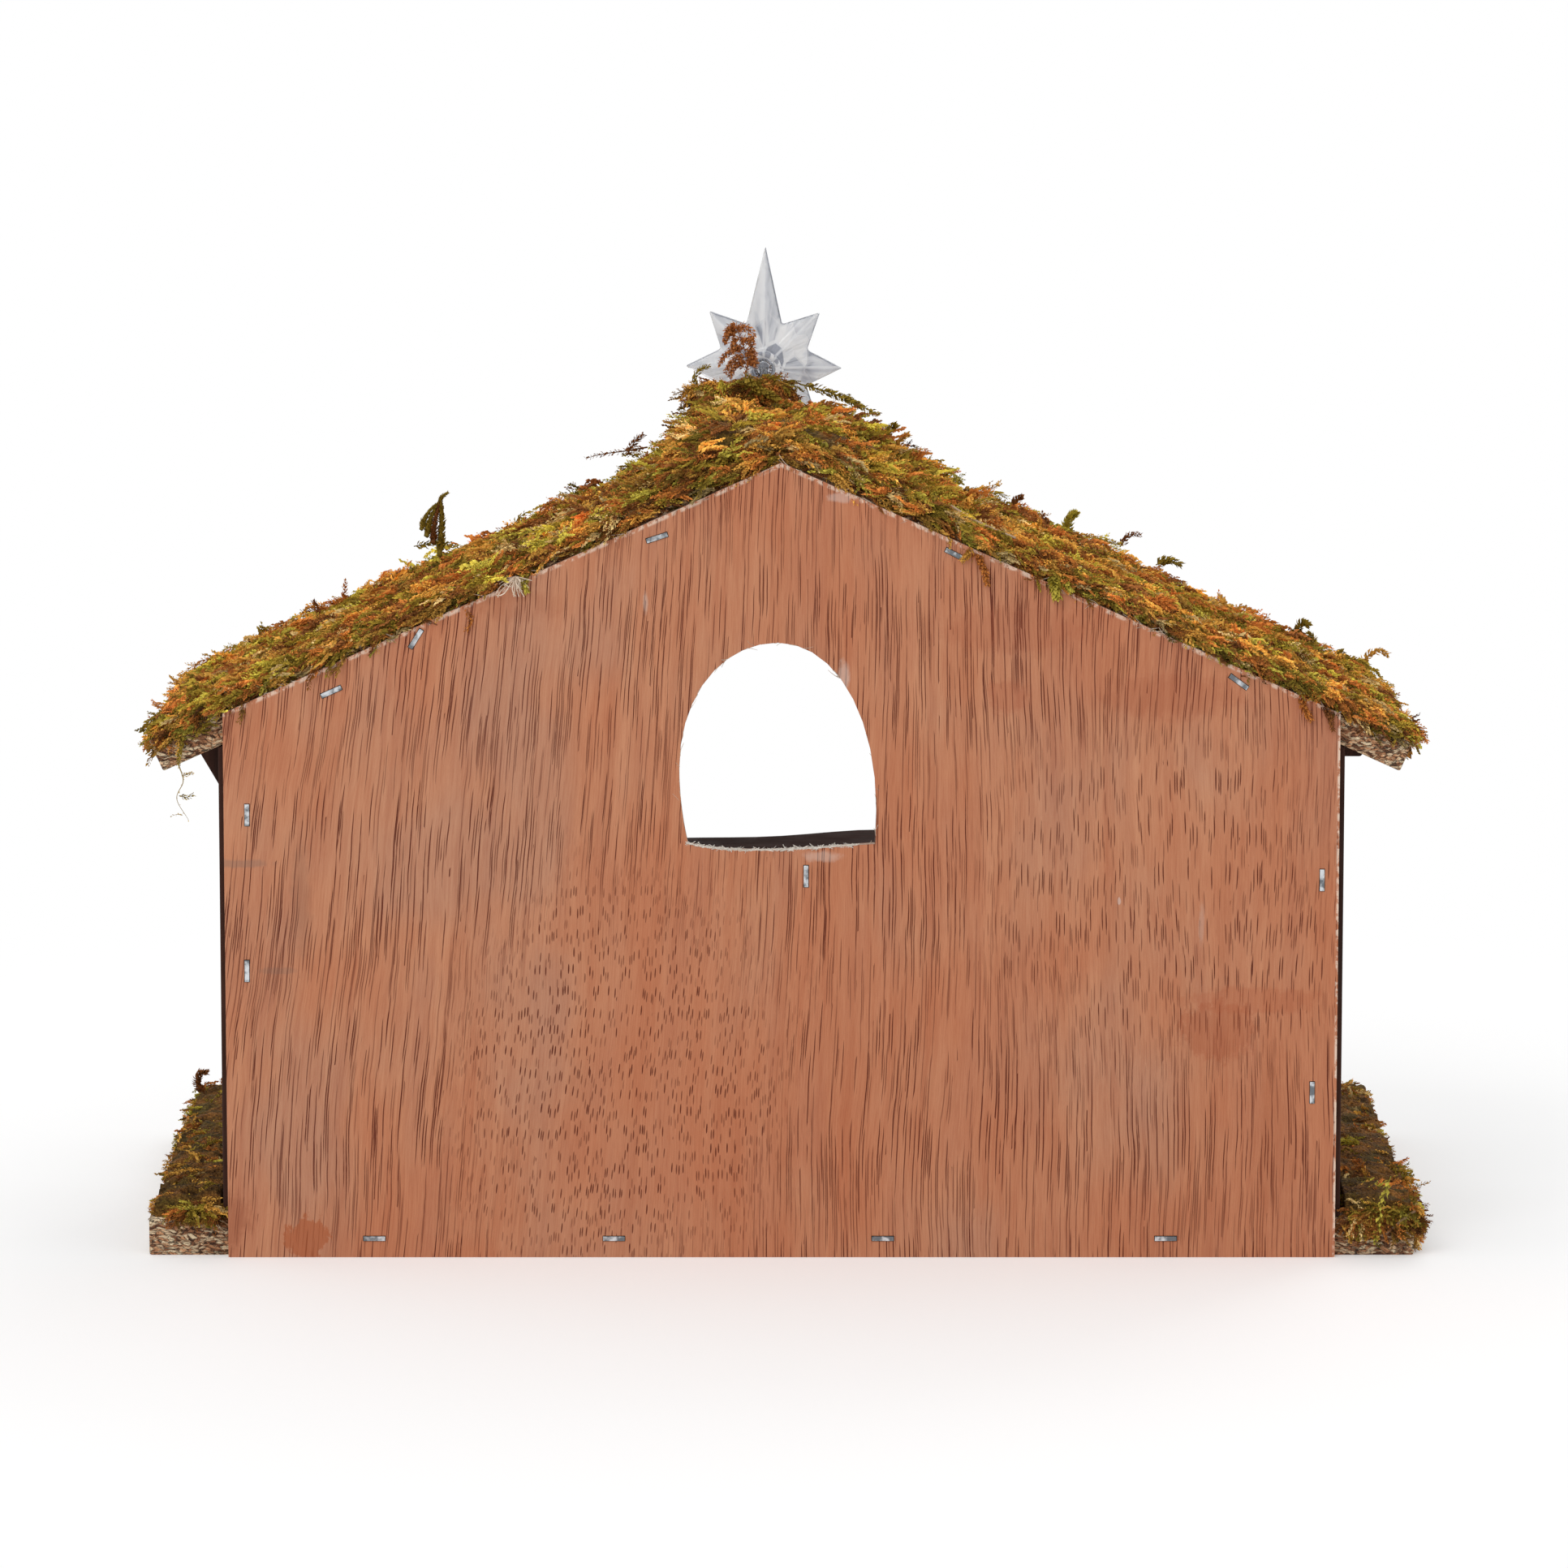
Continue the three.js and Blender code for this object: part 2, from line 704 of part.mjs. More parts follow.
// Lamp: a 5 mm light with its dome forward
function lamp() {
  const steps = 5;
  const profile = [
    [0, 0],
    [lampRadius + lampFlange, 0],
    [lampRadius + lampFlange, lampFlangeLength],
    [lampRadius, lampFlangeLength],
  ];
  for (let i = 0; i <= steps; i++) {
    const a = (i / steps) * (Math.PI / 2);
    const height = lampLength - lampRadius + lampRadius * Math.sin(a);
    profile.push([i === steps ? 0 : lampRadius * Math.cos(a), height]);
  }
  const body = turned(profile, 20).rotateX(Math.PI / 2);
  return solidOf(body.translate(starShift, lampBack, starHeight));
}

// Lead: from the lamp down behind the star, aslant over the ridge and down into the case
function leadTube(grow) {
  const runZ = ridgeHeight + leadRun;
  const downY = lampBack + leadThickness / 2 + leadBehind;
  const turn = leadBend + leadEase;
  const corner = leadBend * 0.4;
  const atStar = (y, z) => new THREE.Vector3(starShift, y, z);
  const atHole = (y, z) => new THREE.Vector3(0, y, z);
  const route = [
    atStar(downY, starHeight + leadThickness / 2),
    atStar(downY, starHeight - leadBend),
    atStar(downY, runZ + turn),
    atStar(downY + corner, runZ + corner),
    atStar(downY + turn, runZ),
    atHole(leadY - turn, runZ),
    atHole(leadY - corner, runZ - corner),
    atHole(leadY, runZ - turn),
    atHole(leadY, ridgeHeight - roofRise),
    atHole(leadY, beamBottom - caseWall - 2),
  ];
  const section = ovalSection((leadThickness + grow) / 2, (leadWidth + grow) / 2, 8);
  const extrudePath = new THREE.CatmullRomCurve3(route, false, "centripetal");
  return solidOf(new THREE.ExtrudeGeometry(section, { steps: 30, extrudePath }));
}

// Battery case, open below, with the channel for its cover
function batteryCase() {
  const shell = block(-caseHalf, caseHalf, caseFront, caseBack, caseBottom, beamBottom);
  const cellBay = block(-caseInnerHalf, caseInnerHalf, bayFront, bayBack, caseBottom - 1, bayTop);
  const switchRoom = block(
    -caseInnerHalf,
    caseInnerHalf,
    caseFront + caseWall,
    bayFront - caseWall,
    channelTop - 1,
    bayTop,
  );
  const track = caseInnerHalf + channelDepth;
  const channel = block(-track, track, caseFront - 1, bayBack, caseBottom + lipHeight, channelTop);
  const inner = caseInnerHalf;
  const mouth = block(-inner, inner, caseFront - 1, bayBack, caseBottom - 1, channelTop);
  const slotHalf = (sliderWidth + switchTravel) / 2 + fitGap;
  const slotTop = switchHeight + sliderHeight / 2 + fitGap;
  const slotBottom = switchHeight - sliderHeight / 2 - fitGap;
  const slotEnd = caseFront + caseWall + 1;
  const slot = block(-slotHalf, slotHalf, caseFront - 1, slotEnd, slotBottom, slotTop);
  const wires = rodZ(leadWidth / 2 + fitGap, 0, leadY, bayTop - 1, beamBottom + 1);
  const tabs = [-1, 1].map((side) => contactTab(side, fitGap));
  return [cellBay, switchRoom, channel, mouth, slot, wires, ...tabs].reduce(
    (whole, cut) => whole.subtract(cut),
    shell,
  );
}

function batteryCover() {
  const back = bayBack - fitGap;
  const tongueHalf = caseInnerHalf + channelDepth - fitGap;
  const tongueTop = channelTop - fitGap;
  const tongueBottom = caseBottom + lipHeight + fitGap;
  const tongue = block(-tongueHalf, tongueHalf, caseFront, back, tongueBottom, tongueTop);
  const face = block(
    -caseInnerHalf + fitGap,
    caseInnerHalf - fitGap,
    caseFront,
    back,
    caseBottom,
    tongueTop,
  );
  const ribHalf = caseInnerHalf * gripShare;
  const grooves = Array.from({ length: gripRibs }, (_, i) => {
    const y = caseFront + gripInset + i * gripPitch;
    return block(-ribHalf, ribHalf, y, y + gripPitch / 2, caseBottom - 1, caseBottom + gripDepth);
  });
  return grooves.reduce((whole, groove) => whole.subtract(groove), tongue.add(face));
}

// Cells: the one at +X has its nub to the front, the other to the back
const frontSheet = bayFront + fitGap;
const backSheet = bayBack - fitGap;
function cell(side) {
  const body = cellLength - cellNub;
  const profile = [
    [0, 0],
    [cellRadius - cellEdge, 0],
    [cellRadius, cellEdge],
    [cellRadius, body - cellEdge],
    [cellRadius - cellEdge, body],
    [cellNubRadius, body],
    [cellNubRadius, cellLength],
    [0, cellLength],
  ];
  const nubGap = contactSheet + fitGap;
  const shape = turned(profile, 24).rotateX(side > 0 ? Math.PI / 2 : -Math.PI / 2);
  const start = side > 0 ? frontSheet + nubGap + cellLength : backSheet - nubGap - cellLength;
  return solidOf(shape.translate((side * cellPitch) / 2, start, cellHeight));
}

// A coil on a contact sheet at y, towards the cell: direction is 1 or -1 along Y
function contactCoil(x, y, direction) {
  const length = springRoom - 2 * contactSheet - 5 * fitGap;
  const steps = 8 * coilTurns;
  const points = [];
  for (let i = 0; i <= steps; i++) {
    const share = i / steps;
    const angle = 2 * Math.PI * coilTurns * share;
    const radius = coilRadius * (1 - coilTaper * share);
    const along = coilWire / 4 + (length - coilWire / 2) * share;
    points.push(
      new THREE.Vector3(
        x + radius * Math.cos(angle),
        y + direction * along,
        cellHeight + radius * Math.sin(angle),
      ),
    );
  }
  const section = roundSection(coilWire / 2, 5);
  const extrudePath = new THREE.CatmullRomCurve3(points);
  return solidOf(new THREE.ExtrudeGeometry(section, { steps, extrudePath }));
}

function contactSheetAt(x, width, y0) {
  const [z0, z1] = [cellHeight - contactSize / 2, cellHeight + contactSize / 2];
  return block(x - width / 2, x + width / 2, y0, y0 + contactSheet, z0, z1);
}

// Solder tab of a front contact, through the partition towards the switch
function contactTab(side, grow) {
  const x = (side * cellPitch) / 2;
  const half = tabWidth / 2 + grow;
  const z = cellHeight;
  const tip = bayFront - caseWall - tabLength;
  const sheet = contactSheet / 2 + grow;
  return block(x - half, x + half, tip - grow, frontSheet + contactSheet / 2, z - sheet, z + sheet);
}

const positiveContact = () =>
  contactSheetAt(cellPitch / 2, contactSize, frontSheet).add(contactTab(1, 0));

const negativeContact = () =>
  contactSheetAt(-cellPitch / 2, contactSize, frontSheet)
    .add(contactTab(-1, 0))
    .add(contactCoil(-cellPitch / 2, frontSheet + contactSheet, 1));

const seriesContact = () =>
  contactSheetAt(0, cellPitch + contactSize, backSheet - contactSheet)
    .add(contactCoil(cellPitch / 2, backSheet - contactSheet, -1));

// Switch: a body behind the case's front wall, and the slider through it
const switchHeight = (channelTop + bayTop) / 2 + 1;
function switchBody() {
  const half = switchBodyWidth / 2;
  const front = caseFront + caseWall;
  const [z0, z1] = [switchHeight - switchBodyHeight / 2, switchHeight + switchBodyHeight / 2];
  const body = block(-half, half, front, front + switchBodyDepth, z0, z1);
  const trackHalf = (sliderWidth + switchTravel) / 2 + sliderFoot + fitGap;
  const trackHeight = sliderHeight / 2 + fitGap;
  const track = block(
    -trackHalf,
    trackHalf,
    front - 1,
    front + sliderFootDepth + 2 * fitGap,
    switchHeight - trackHeight,
    switchHeight + trackHeight,
  );
  return body.subtract(track);
}

function switchSlider() {
  const x = -switchTravel / 2;
  const half = sliderWidth / 2;
  const [z0, z1] = [switchHeight - sliderHeight / 2, switchHeight + sliderHeight / 2];
  const inner = caseFront + caseWall + fitGap;
  const footHalf = half + sliderFoot;
  const face = caseFront - sliderProud;
  const groove = sliderGroove / 2;
  const foot = block(x - footHalf, x + footHalf, inner, inner + sliderFootDepth, z0, z1);
  const knob = block(x - half, x + half, face, inner + sliderFootDepth / 2, z0, z1);
  const grip = block(x - groove, x + groove, face - 1, face + groove, z0 - 1, z1 + 1);
  return foot.add(knob).subtract(grip);
}

// Figures: a turned robe with folds, flattened front to back
function robe(profile, folds, foldDepth, flatten, shiftBack = 0) {
  const body = turned(profile, 24);
  const points = body.getAttribute("position");
  const foldTop = 0.8 * profile[profile.length - 1][1];
  for (let i = 0; i < points.count; i++) {
    const [x, y, z] = [points.getX(i), points.getY(i), points.getZ(i)];
    const fade = Math.max(0, 1 - z / foldTop);
    const grow = 1 + foldDepth * fade * Math.cos(folds * Math.atan2(y, x));
    points.setXYZ(i, x * grow, y * grow * flatten + shiftBack, z);
  }
  return solidOf(body);
}

// The figures' outlines are drawn on grids of this share of their own sizes
const standingShare = 1 / 78;
const kneelingShare = 1 / 54;
const infantShare = 1 / 24;
const staffHand = [13.2, -11.2];
const gownProfile = [[0, 0], [13.4, 0], [12.8, 5], [9.9, 36], [10.8, 56], [8, 63], [3.6, 66], [0, 68]];
const cloakProfile = [[0, 3], [14.8, 3], [13.9, 8], [11.5, 36], [12, 56], [9.4, 62.5], [0, 66]];
const skirtProfile = [[0, 0], [13.6, 0], [13.4, 4], [9.4, 17], [6.8, 26], [0, 27]];
const torsoProfile = [[0, 14], [6.6, 15], [6.9, 27], [8.2, 37], [6, 40.5], [2.6, 43], [0, 45]];
const mantleProfile = [[0, 3], [15, 3], [13, 12], [10, 24], [8.6, 38], [5.4, 42.4], [0, 46]];

function standingFigure() {
  const s = standingHeight * standingShare;
  const at = (...place) => place.map((value) => value * s);
  const drawn = (profile) => profile.map(([r, h]) => at(r, h));
  const cut = (...edges) => block(...at(...edges));
  const gown = robe(drawn(gownProfile), 8, 0.06, 0.78);
  const cloak = robe(drawn(cloakProfile), 5, 0.05, 0.8, 1.2 * s);
  const hair = ellipsoid(at(5.3, 5.4, 6.2), at(0, 0.9, 72.4));
  const shoulder = at(10.2, 0, 57.5);
  const elbow = at(13.2, -2.4, 44.5);
  const otherShoulder = at(-10.2, 0, 57.5);
  const otherElbow = at(-12, -3.4, 45);
  const [handX, handY] = at(...staffHand);
  return union([
    gown,
    cloak.subtract(cut(-6.4, 6.4, -20, 0, -1, 64)),
    ellipsoid(at(4.7, 5.1, 6.1), at(0, -0.6, 71.6)),
    hair.subtract(cut(-6, 6, -8, -1.8, 60, 75.4)),
    ellipsoid(at(3.3, 2.6, 3.6), at(0, -3.6, 67.8), 10, 6),
    ellipsoid(at(0.8, 1.2, 1.5), at(0, -5.6, 71.8), 6, 4),
    limb(shoulder, elbow, 3.6 * s, 3.4 * s),
    limb(elbow, at(13.2, -8.6, 48.6), 3.3 * s, 3 * s),
    ellipsoid(at(2.1, 2.4, 2.6), [handX, handY, 50.4 * s], 8, 6),
    limb(otherShoulder, otherElbow, 3.6 * s, 3.4 * s),
    limb(otherElbow, at(-5.6, -9, 46), 3.3 * s, 2.9 * s),
    ellipsoid(at(2.5, 1.6, 1.9), at(-2.6, -9.8, 46.6), 8, 6),
  ]).subtract(rodZ(staffRadius + fitGap, handX, handY, 0, 60 * s, 12));
}

function kneelingFigure() {
  const s = kneelingHeight * kneelingShare;
  const at = (...place) => place.map((value) => value * s);
  const drawn = (profile) => profile.map(([r, h]) => at(r, h));
  const cut = (...edges) => block(...at(...edges));
  const skirt = robe(drawn(skirtProfile), 7, 0.07, 1.2, 2.4 * s);
  const torso = robe(drawn(torsoProfile), 6, 0.03, 0.8);
  const mantle = robe(drawn(mantleProfile), 6, 0.06, 1.08, 3 * s);
  const hood = ellipsoid(at(5.3, 5.3, 6.2), at(0, -0.8, 47.8));
  const face = ellipsoid(at(4.1, 4.2, 5.5), at(0, -5.4, 46.2));
  const arms = [-1, 1].flatMap((side) => {
    const elbow = at(side * 7, -5.6, 27.5);
    const wrist = at(side * 1.4, -10.4, 31.4);
    return [
      limb(at(side * 7.4, -1, 36), elbow, 3 * s, 2.8 * s),
      limb(elbow, wrist, 2.7 * s, 1.9 * s),
    ];
  });
  return union([
    skirt,
    torso,
    mantle.subtract(cut(-5.4, 5.4, -24, -1.5, -1, 47)),
    hood.subtract(face),
    ellipsoid(at(3.9, 4.3, 5.2), at(0, -2.6, 47)),
    ellipsoid(at(0.6, 1, 1.2), at(0, -6.8, 46.8), 6, 4),
    ellipsoid(at(1.7, 1.6, 3), at(0, -11.2, 34), 8, 6),
    ...arms,
  ]);
}

// Staff: a straight stick with a crook, held by the standing figure
function staff() {
  const s = standingHeight * standingShare;
  const bend = crookBend;
  const stem = staffHeight - bend;
  const crookSteps = 5;
  const [x, y] = staffHand.map((value) => value * s);
  const points = [0, 0.33, 0.66, 1].map((share) => new THREE.Vector3(x, y, share * stem));
  for (let i = 1; i <= crookSteps; i++) {
    const angle = (i / crookSteps) * Math.PI * 1.15;
    const [out, up] = [bend - bend * Math.cos(angle), bend * Math.sin(angle)];
    points.push(new THREE.Vector3(x + out, y, stem + up));
  }
  const extrudePath = new THREE.CatmullRomCurve3(points, false, "centripetal");
  const section = roundSection(staffRadius, 7);
  return solidOf(new THREE.ExtrudeGeometry(section, { steps: 22, extrudePath }));
}

// Manger: a trough of boards on crossed legs, with its straw and the infant
const troughDepth = 11;
const troughFloor = mangerTop - troughDepth;
const troughFoot = mangerHalfWidth * mangerFootShare;
function trough(inset, top) {
  const lean = (mangerHalfWidth - troughFoot) / troughDepth;
  const height = top - troughFloor - inset;
  const foot = troughFoot - inset + lean * inset;
  return shapeOf([
    [-foot, troughFloor + inset],
    [foot, troughFloor + inset],
    [foot + lean * height, top],
    [-foot - lean * height, top],
  ]);
}

function acrossX(shape, x0, x1) {
  const depth = x1 - x0;
  const body = new THREE.ExtrudeGeometry(shape, { depth, bevelEnabled: false });
  return solidOf(body.rotateX(Math.PI / 2).rotateZ(Math.PI / 2).translate(x0, 0, 0));
}

function manger() {
  const half = mangerLength / 2;
  const box = acrossX(trough(0, mangerTop), -half, half);
  const hollow = acrossX(trough(mangerBoard, mangerTop + 1), -half + mangerBoard, half - mangerBoard);
  const r = mangerLegRadius;
  const legs = [-1, 1].flatMap((end) =>
    [-1, 1].map((side) => {
      const x = end * (half - mangerLegInset);
      const foot = [x, -side * mangerLegSpread, 0.8 * r];
      return limb(foot, [x, 0.8 * side * mangerLegSpread, mangerTop - 2 * r], r, r, 6);
    }),
  );
  const feet = block(-half, half, -2 * mangerHalfWidth, 2 * mangerHalfWidth, -5, 0);
  return union([box, ...legs]).subtract(hollow).subtract(feet);
}

const strawLevel = mangerTop - mangerStrawDrop;
function mangerStraw() {
  const end = mangerLength / 2 - mangerBoard - fitGap;
  return acrossX(trough(mangerBoard + fitGap, strawLevel), -end, end);
}

function infant() {
  const s = infantLength * infantShare;
  const at = (...place) => place.map((value) => value * s);
  const lift = (solid) => solid.translate([0, 0, strawLevel]);
  const wrap = ellipsoid(at(8.4, 3.7, 3.6), at(-2.2, 0, 2.3));
  const chest = ellipsoid(at(4.4, 3.9, 3.3), at(2.6, 0, 2.6));
  const head = ellipsoid(at(3, 2.8, 2.9), at(9, 0, 3.6));
  const arms = [-1, 1].map((side) =>
    limb(at(4.6, side * 3, 4), at(2.6, side * 4.6, 6.2), s, 0.8 * s, 6),
  );
  const bed = block(-30, 30, -30, 30, -10, 0);
  return lift(union([wrap, chest, head, ...arms]).subtract(bed));
}

// Scene graph
const stable = new THREE.Group();
stable.add(
  piece("base_board", baseBoard(), chipboard),
  piece("back_panel", backPanel(), plywood),
  piece("side_wall_left", sideWall(1, stapleSets.wall_left), darkWood),
  piece("side_wall_right", sideWall(-1, stapleSets.wall_right), darkWood),
  piece("front_post_left", frontPost(1), darkWood),
  piece("front_post_right", frontPost(-1), darkWood),
  piece("knee_brace_left", kneeBrace(1, braceBar), darkWood),
  piece("knee_brace_right", kneeBrace(-1, braceBlock), darkWood),
  piece("roof_board_left", roofBoard(1, stapleSets.roof_left), chipboard),
  piece("roof_board_right", roofBoard(-1, stapleSets.roof_right), chipboard),
  piece("ridge_beam", ridgeBeam(), darkWood),
  piece("hay_shelf", hayShelf(), darkWood),
  ...staplePieces(),
);

const greenery = new THREE.Group();
const sideStrip = [wallOuter + padGap, baseWidth / 2 - padGap];
greenery.add(
  piece("roof_moss_left", roofMoss(1), moss),
  piece("roof_moss_right", roofMoss(-1), moss),
  piece("ridge_moss", ridgeMoss(), moss),
  piece("base_moss_left", baseMoss(sideStrip, [frontY, panelInner]), moss),
  piece("base_moss_right", baseMoss([-sideStrip[1], -sideStrip[0]], [frontY, panelInner]), moss),
  piece("base_moss_front", baseMoss([-wallOuter, wallOuter], [frontY, postFront - padGap]), moss),
  piece("floor_straw", strawFloor(), straw),
);

const lighting = new THREE.Group();
lighting.add(
  piece("star", star(), clearPlastic),
  piece("lamp", lamp(), lampPlastic),
  piece("lamp_lead", leadTube(0), leadPlastic),
  piece("battery_case", batteryCase(), blackPlastic),
  piece("battery_cover", batteryCover(), blackPlastic),
  piece("cell_left", cell(1), cellWrap),
  piece("cell_right", cell(-1), cellWrap),
  piece("series_contact", seriesContact(), steel),
  piece("positive_contact", positiveContact(), steel),
  piece("negative_contact", negativeContact(), steel),
  piece("switch_body", switchBody(), steel),
  piece("switch_slider", switchSlider(), blackPlastic),
);

const figures = new THREE.Group();
const standing = new THREE.Group();
standing.add(piece("standing_figure", standingFigure(), brownRobe), piece("staff", staff(), darkWood));
standing.position.set(figureSpread, roofFront + figureBack, floorTop);
standing.rotation.z = deg(-28);
const kneeling = new THREE.Group();
kneeling.add(piece("kneeling_figure", kneelingFigure(), blueRobe));
kneeling.position.set(-figureSpread, roofFront + figureBack, floorTop);
kneeling.rotation.z = deg(35);
const crib = new THREE.Group();
crib.add(
  piece("manger", manger(), darkWood),
  piece("manger_straw", mangerStraw(), straw),
  piece("infant", infant(), creamCloth),
);
crib.position.set(0, roofFront + mangerBack, floorTop);
figures.add(standing, kneeling, crib);

const scene = new THREE.Group();
scene.add(stable, greenery, lighting, figures);

export default scene;
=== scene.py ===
"""Looks of the lighted nativity scene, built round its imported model. Metres, Z up."""
import json
import math

import bpy
import numpy as np
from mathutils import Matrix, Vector
from mathutils.bvhtree import BVHTree

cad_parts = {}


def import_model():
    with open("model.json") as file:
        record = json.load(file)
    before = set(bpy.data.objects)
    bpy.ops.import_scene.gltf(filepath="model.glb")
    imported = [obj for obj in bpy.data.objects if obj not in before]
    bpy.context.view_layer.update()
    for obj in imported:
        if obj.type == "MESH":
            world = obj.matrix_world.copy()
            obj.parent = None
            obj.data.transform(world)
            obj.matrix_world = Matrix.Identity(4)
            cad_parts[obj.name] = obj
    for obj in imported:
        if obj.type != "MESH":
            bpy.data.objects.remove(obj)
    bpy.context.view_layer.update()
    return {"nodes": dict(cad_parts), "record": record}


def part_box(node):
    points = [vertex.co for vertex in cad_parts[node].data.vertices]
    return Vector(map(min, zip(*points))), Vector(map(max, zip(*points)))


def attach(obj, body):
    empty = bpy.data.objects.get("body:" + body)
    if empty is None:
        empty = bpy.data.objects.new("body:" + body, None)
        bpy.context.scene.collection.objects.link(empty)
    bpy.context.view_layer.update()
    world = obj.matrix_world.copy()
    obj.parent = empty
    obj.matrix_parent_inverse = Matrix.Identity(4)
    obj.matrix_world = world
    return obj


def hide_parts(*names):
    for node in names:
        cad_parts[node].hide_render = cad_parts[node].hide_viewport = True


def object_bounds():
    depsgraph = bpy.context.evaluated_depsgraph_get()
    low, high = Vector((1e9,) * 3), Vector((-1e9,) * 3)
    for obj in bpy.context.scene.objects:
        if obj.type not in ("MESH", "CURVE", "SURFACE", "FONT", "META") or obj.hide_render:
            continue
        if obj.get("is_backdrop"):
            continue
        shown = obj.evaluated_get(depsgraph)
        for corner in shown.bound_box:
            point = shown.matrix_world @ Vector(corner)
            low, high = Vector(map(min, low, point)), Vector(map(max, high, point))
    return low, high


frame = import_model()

MM = 0.001

# Camera: where the photograph was taken from, with the picture's size in pixels
PHOTO_SIZE = 1932
FOCAL_PIXELS = 9000
SENSOR_MM = 36
CAMERA_PITCH = math.radians(8.34)
CAMERA_PLACE = Vector((-0.65, 2007, 410.2)) * MM

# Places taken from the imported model
PANEL_LOW, PANEL_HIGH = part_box("back_panel")
ROOF_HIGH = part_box("roof_board_left")[1]
STAR_LOW, STAR_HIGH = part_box("star")
PITCH = math.radians(24.25)
STAR_LONG_RAY = 34 * MM
STAR_X = 0.5 * (STAR_LOW.x + STAR_HIGH.x)
STAR_Z = STAR_HIGH.z - STAR_LONG_RAY

# Where the figures stand, in millimetres, and how far they are turned, in degrees
STANDING_FOOT, STANDING_TURN = (37, 12, 12.8), -28
KNEELING_FOOT, KNEELING_TURN = (-37, 12, 12.8), 35
INFANT_FOOT = (0, -2, 34.6)

WORLD_LIGHT = 0.68
FLOOR_LIFT = 0.23  # brings the lit floor near the object up to the white of the background


# Numbers
def rng_of(seed):
    return np.random.default_rng(seed)


def cell_noise(cells, seed):
    """A random number from 0 to 1 for each whole-number cell."""
    n = cells[..., 0] * 73856093 ^ cells[..., 1] * 19349663 ^ cells[..., 2] * 83492791
    n = (n ^ seed * 2654435761) & 0xFFFFFFFF
    n = ((n ^ (n >> 13)) * 1274126177) & 0xFFFFFFFF
    return ((n ^ (n >> 16)) & 0xFFFFFF) / 0xFFFFFF


def noise(points, size, seed=0):
    """Smooth noise from 0 to 1 at points (n, 3), with lumps about that size in millimetres."""
    p = np.asarray(points, float) / (size * MM) + 57.3
    cell = np.floor(p).astype(np.int64)
    f = p - cell
    f = f * f * (3 - 2 * f)
    total = np.zeros(len(p))
    for corner in np.ndindex(2, 2, 2):
        weight = np.prod(np.where(corner, f, 1 - f), axis=1)
        total += weight * cell_noise(cell + np.array(corner), seed)
    return total


def unit(v):
    return v / np.maximum(np.linalg.norm(v, axis=-1, keepdims=True), 1e-12)


def columns(x, y, z):
    return np.stack(np.broadcast_arrays(x, y, z), axis=-1)


def rgb(r, g, b):
    """A colour written as it looks on a screen, from 0 to 255, as the shader's numbers."""
    c = np.array([r, g, b]) / 255
    c = np.where(c <= 0.04045, c / 12.92, ((c + 0.055) / 1.055) ** 2.4)
    return (*(float(x) for x in c), 1.0)


def lit(tone, share, more=0.0):
    """A colour with its light multiplied by a share."""
    return (*(min(1.0, c * share + more) for c in tone[:3]), 1.0)


# Meshes
def mesh_object(name, points, faces, colours, look, slot, node=None, plan=None):
    """An object of points (n, 3) with a colour each, and faces, all with the same count of
    corners. One that takes a CAD node's place has its texture seen from above, over the box
    plan or all that is there so far."""
    points = np.asarray(points, np.float32)
    count, corners = faces.shape
    mesh = bpy.data.meshes.new(name)
    mesh.vertices.add(len(points))
    mesh.vertices.foreach_set("co", points.ravel())
    mesh.loops.add(count * corners)
    mesh.loops.foreach_set("vertex_index", faces.astype(np.int32).ravel())
    mesh.polygons.add(count)
    mesh.polygons.foreach_set("loop_start", np.arange(0, count * corners, corners, dtype=np.int32))
    mesh.polygons.foreach_set("use_smooth", np.ones(count, bool))
    mesh.update(calc_edges=True)
    mesh.validate()
    mesh.materials.append(look)
    made = bpy.data.objects.new(name, mesh)
    bpy.context.scene.collection.objects.link(made)
    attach(made, "stable")
    tints = np.ones((len(points), 4), np.float32)
    tints[:, :3] = colours
    layer = mesh.color_attributes.new("tint", "FLOAT_COLOR", "POINT")
    layer.data.foreach_set("color", tints.ravel())
    if node:
        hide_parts(node)
        plan_map(mesh, points, *(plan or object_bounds()))


def plan_map(mesh, points, low, high):
    """Texture places seen from above, so that strands share the picture of their mat."""
    corner = np.zeros(len(mesh.loops), np.int32)
    mesh.loops.foreach_get("vertex_index", corner)
    low, high = np.array(low[:2]) - 0.02, np.array(high[:2]) + 0.02
    share = np.clip((points[:, :2] - low) / (high - low), 0.001, 0.999)
    layer = mesh.uv_layers.new(name="OFBake")
    layer.data.foreach_set("uv", share[corner].astype(np.float32).ravel())


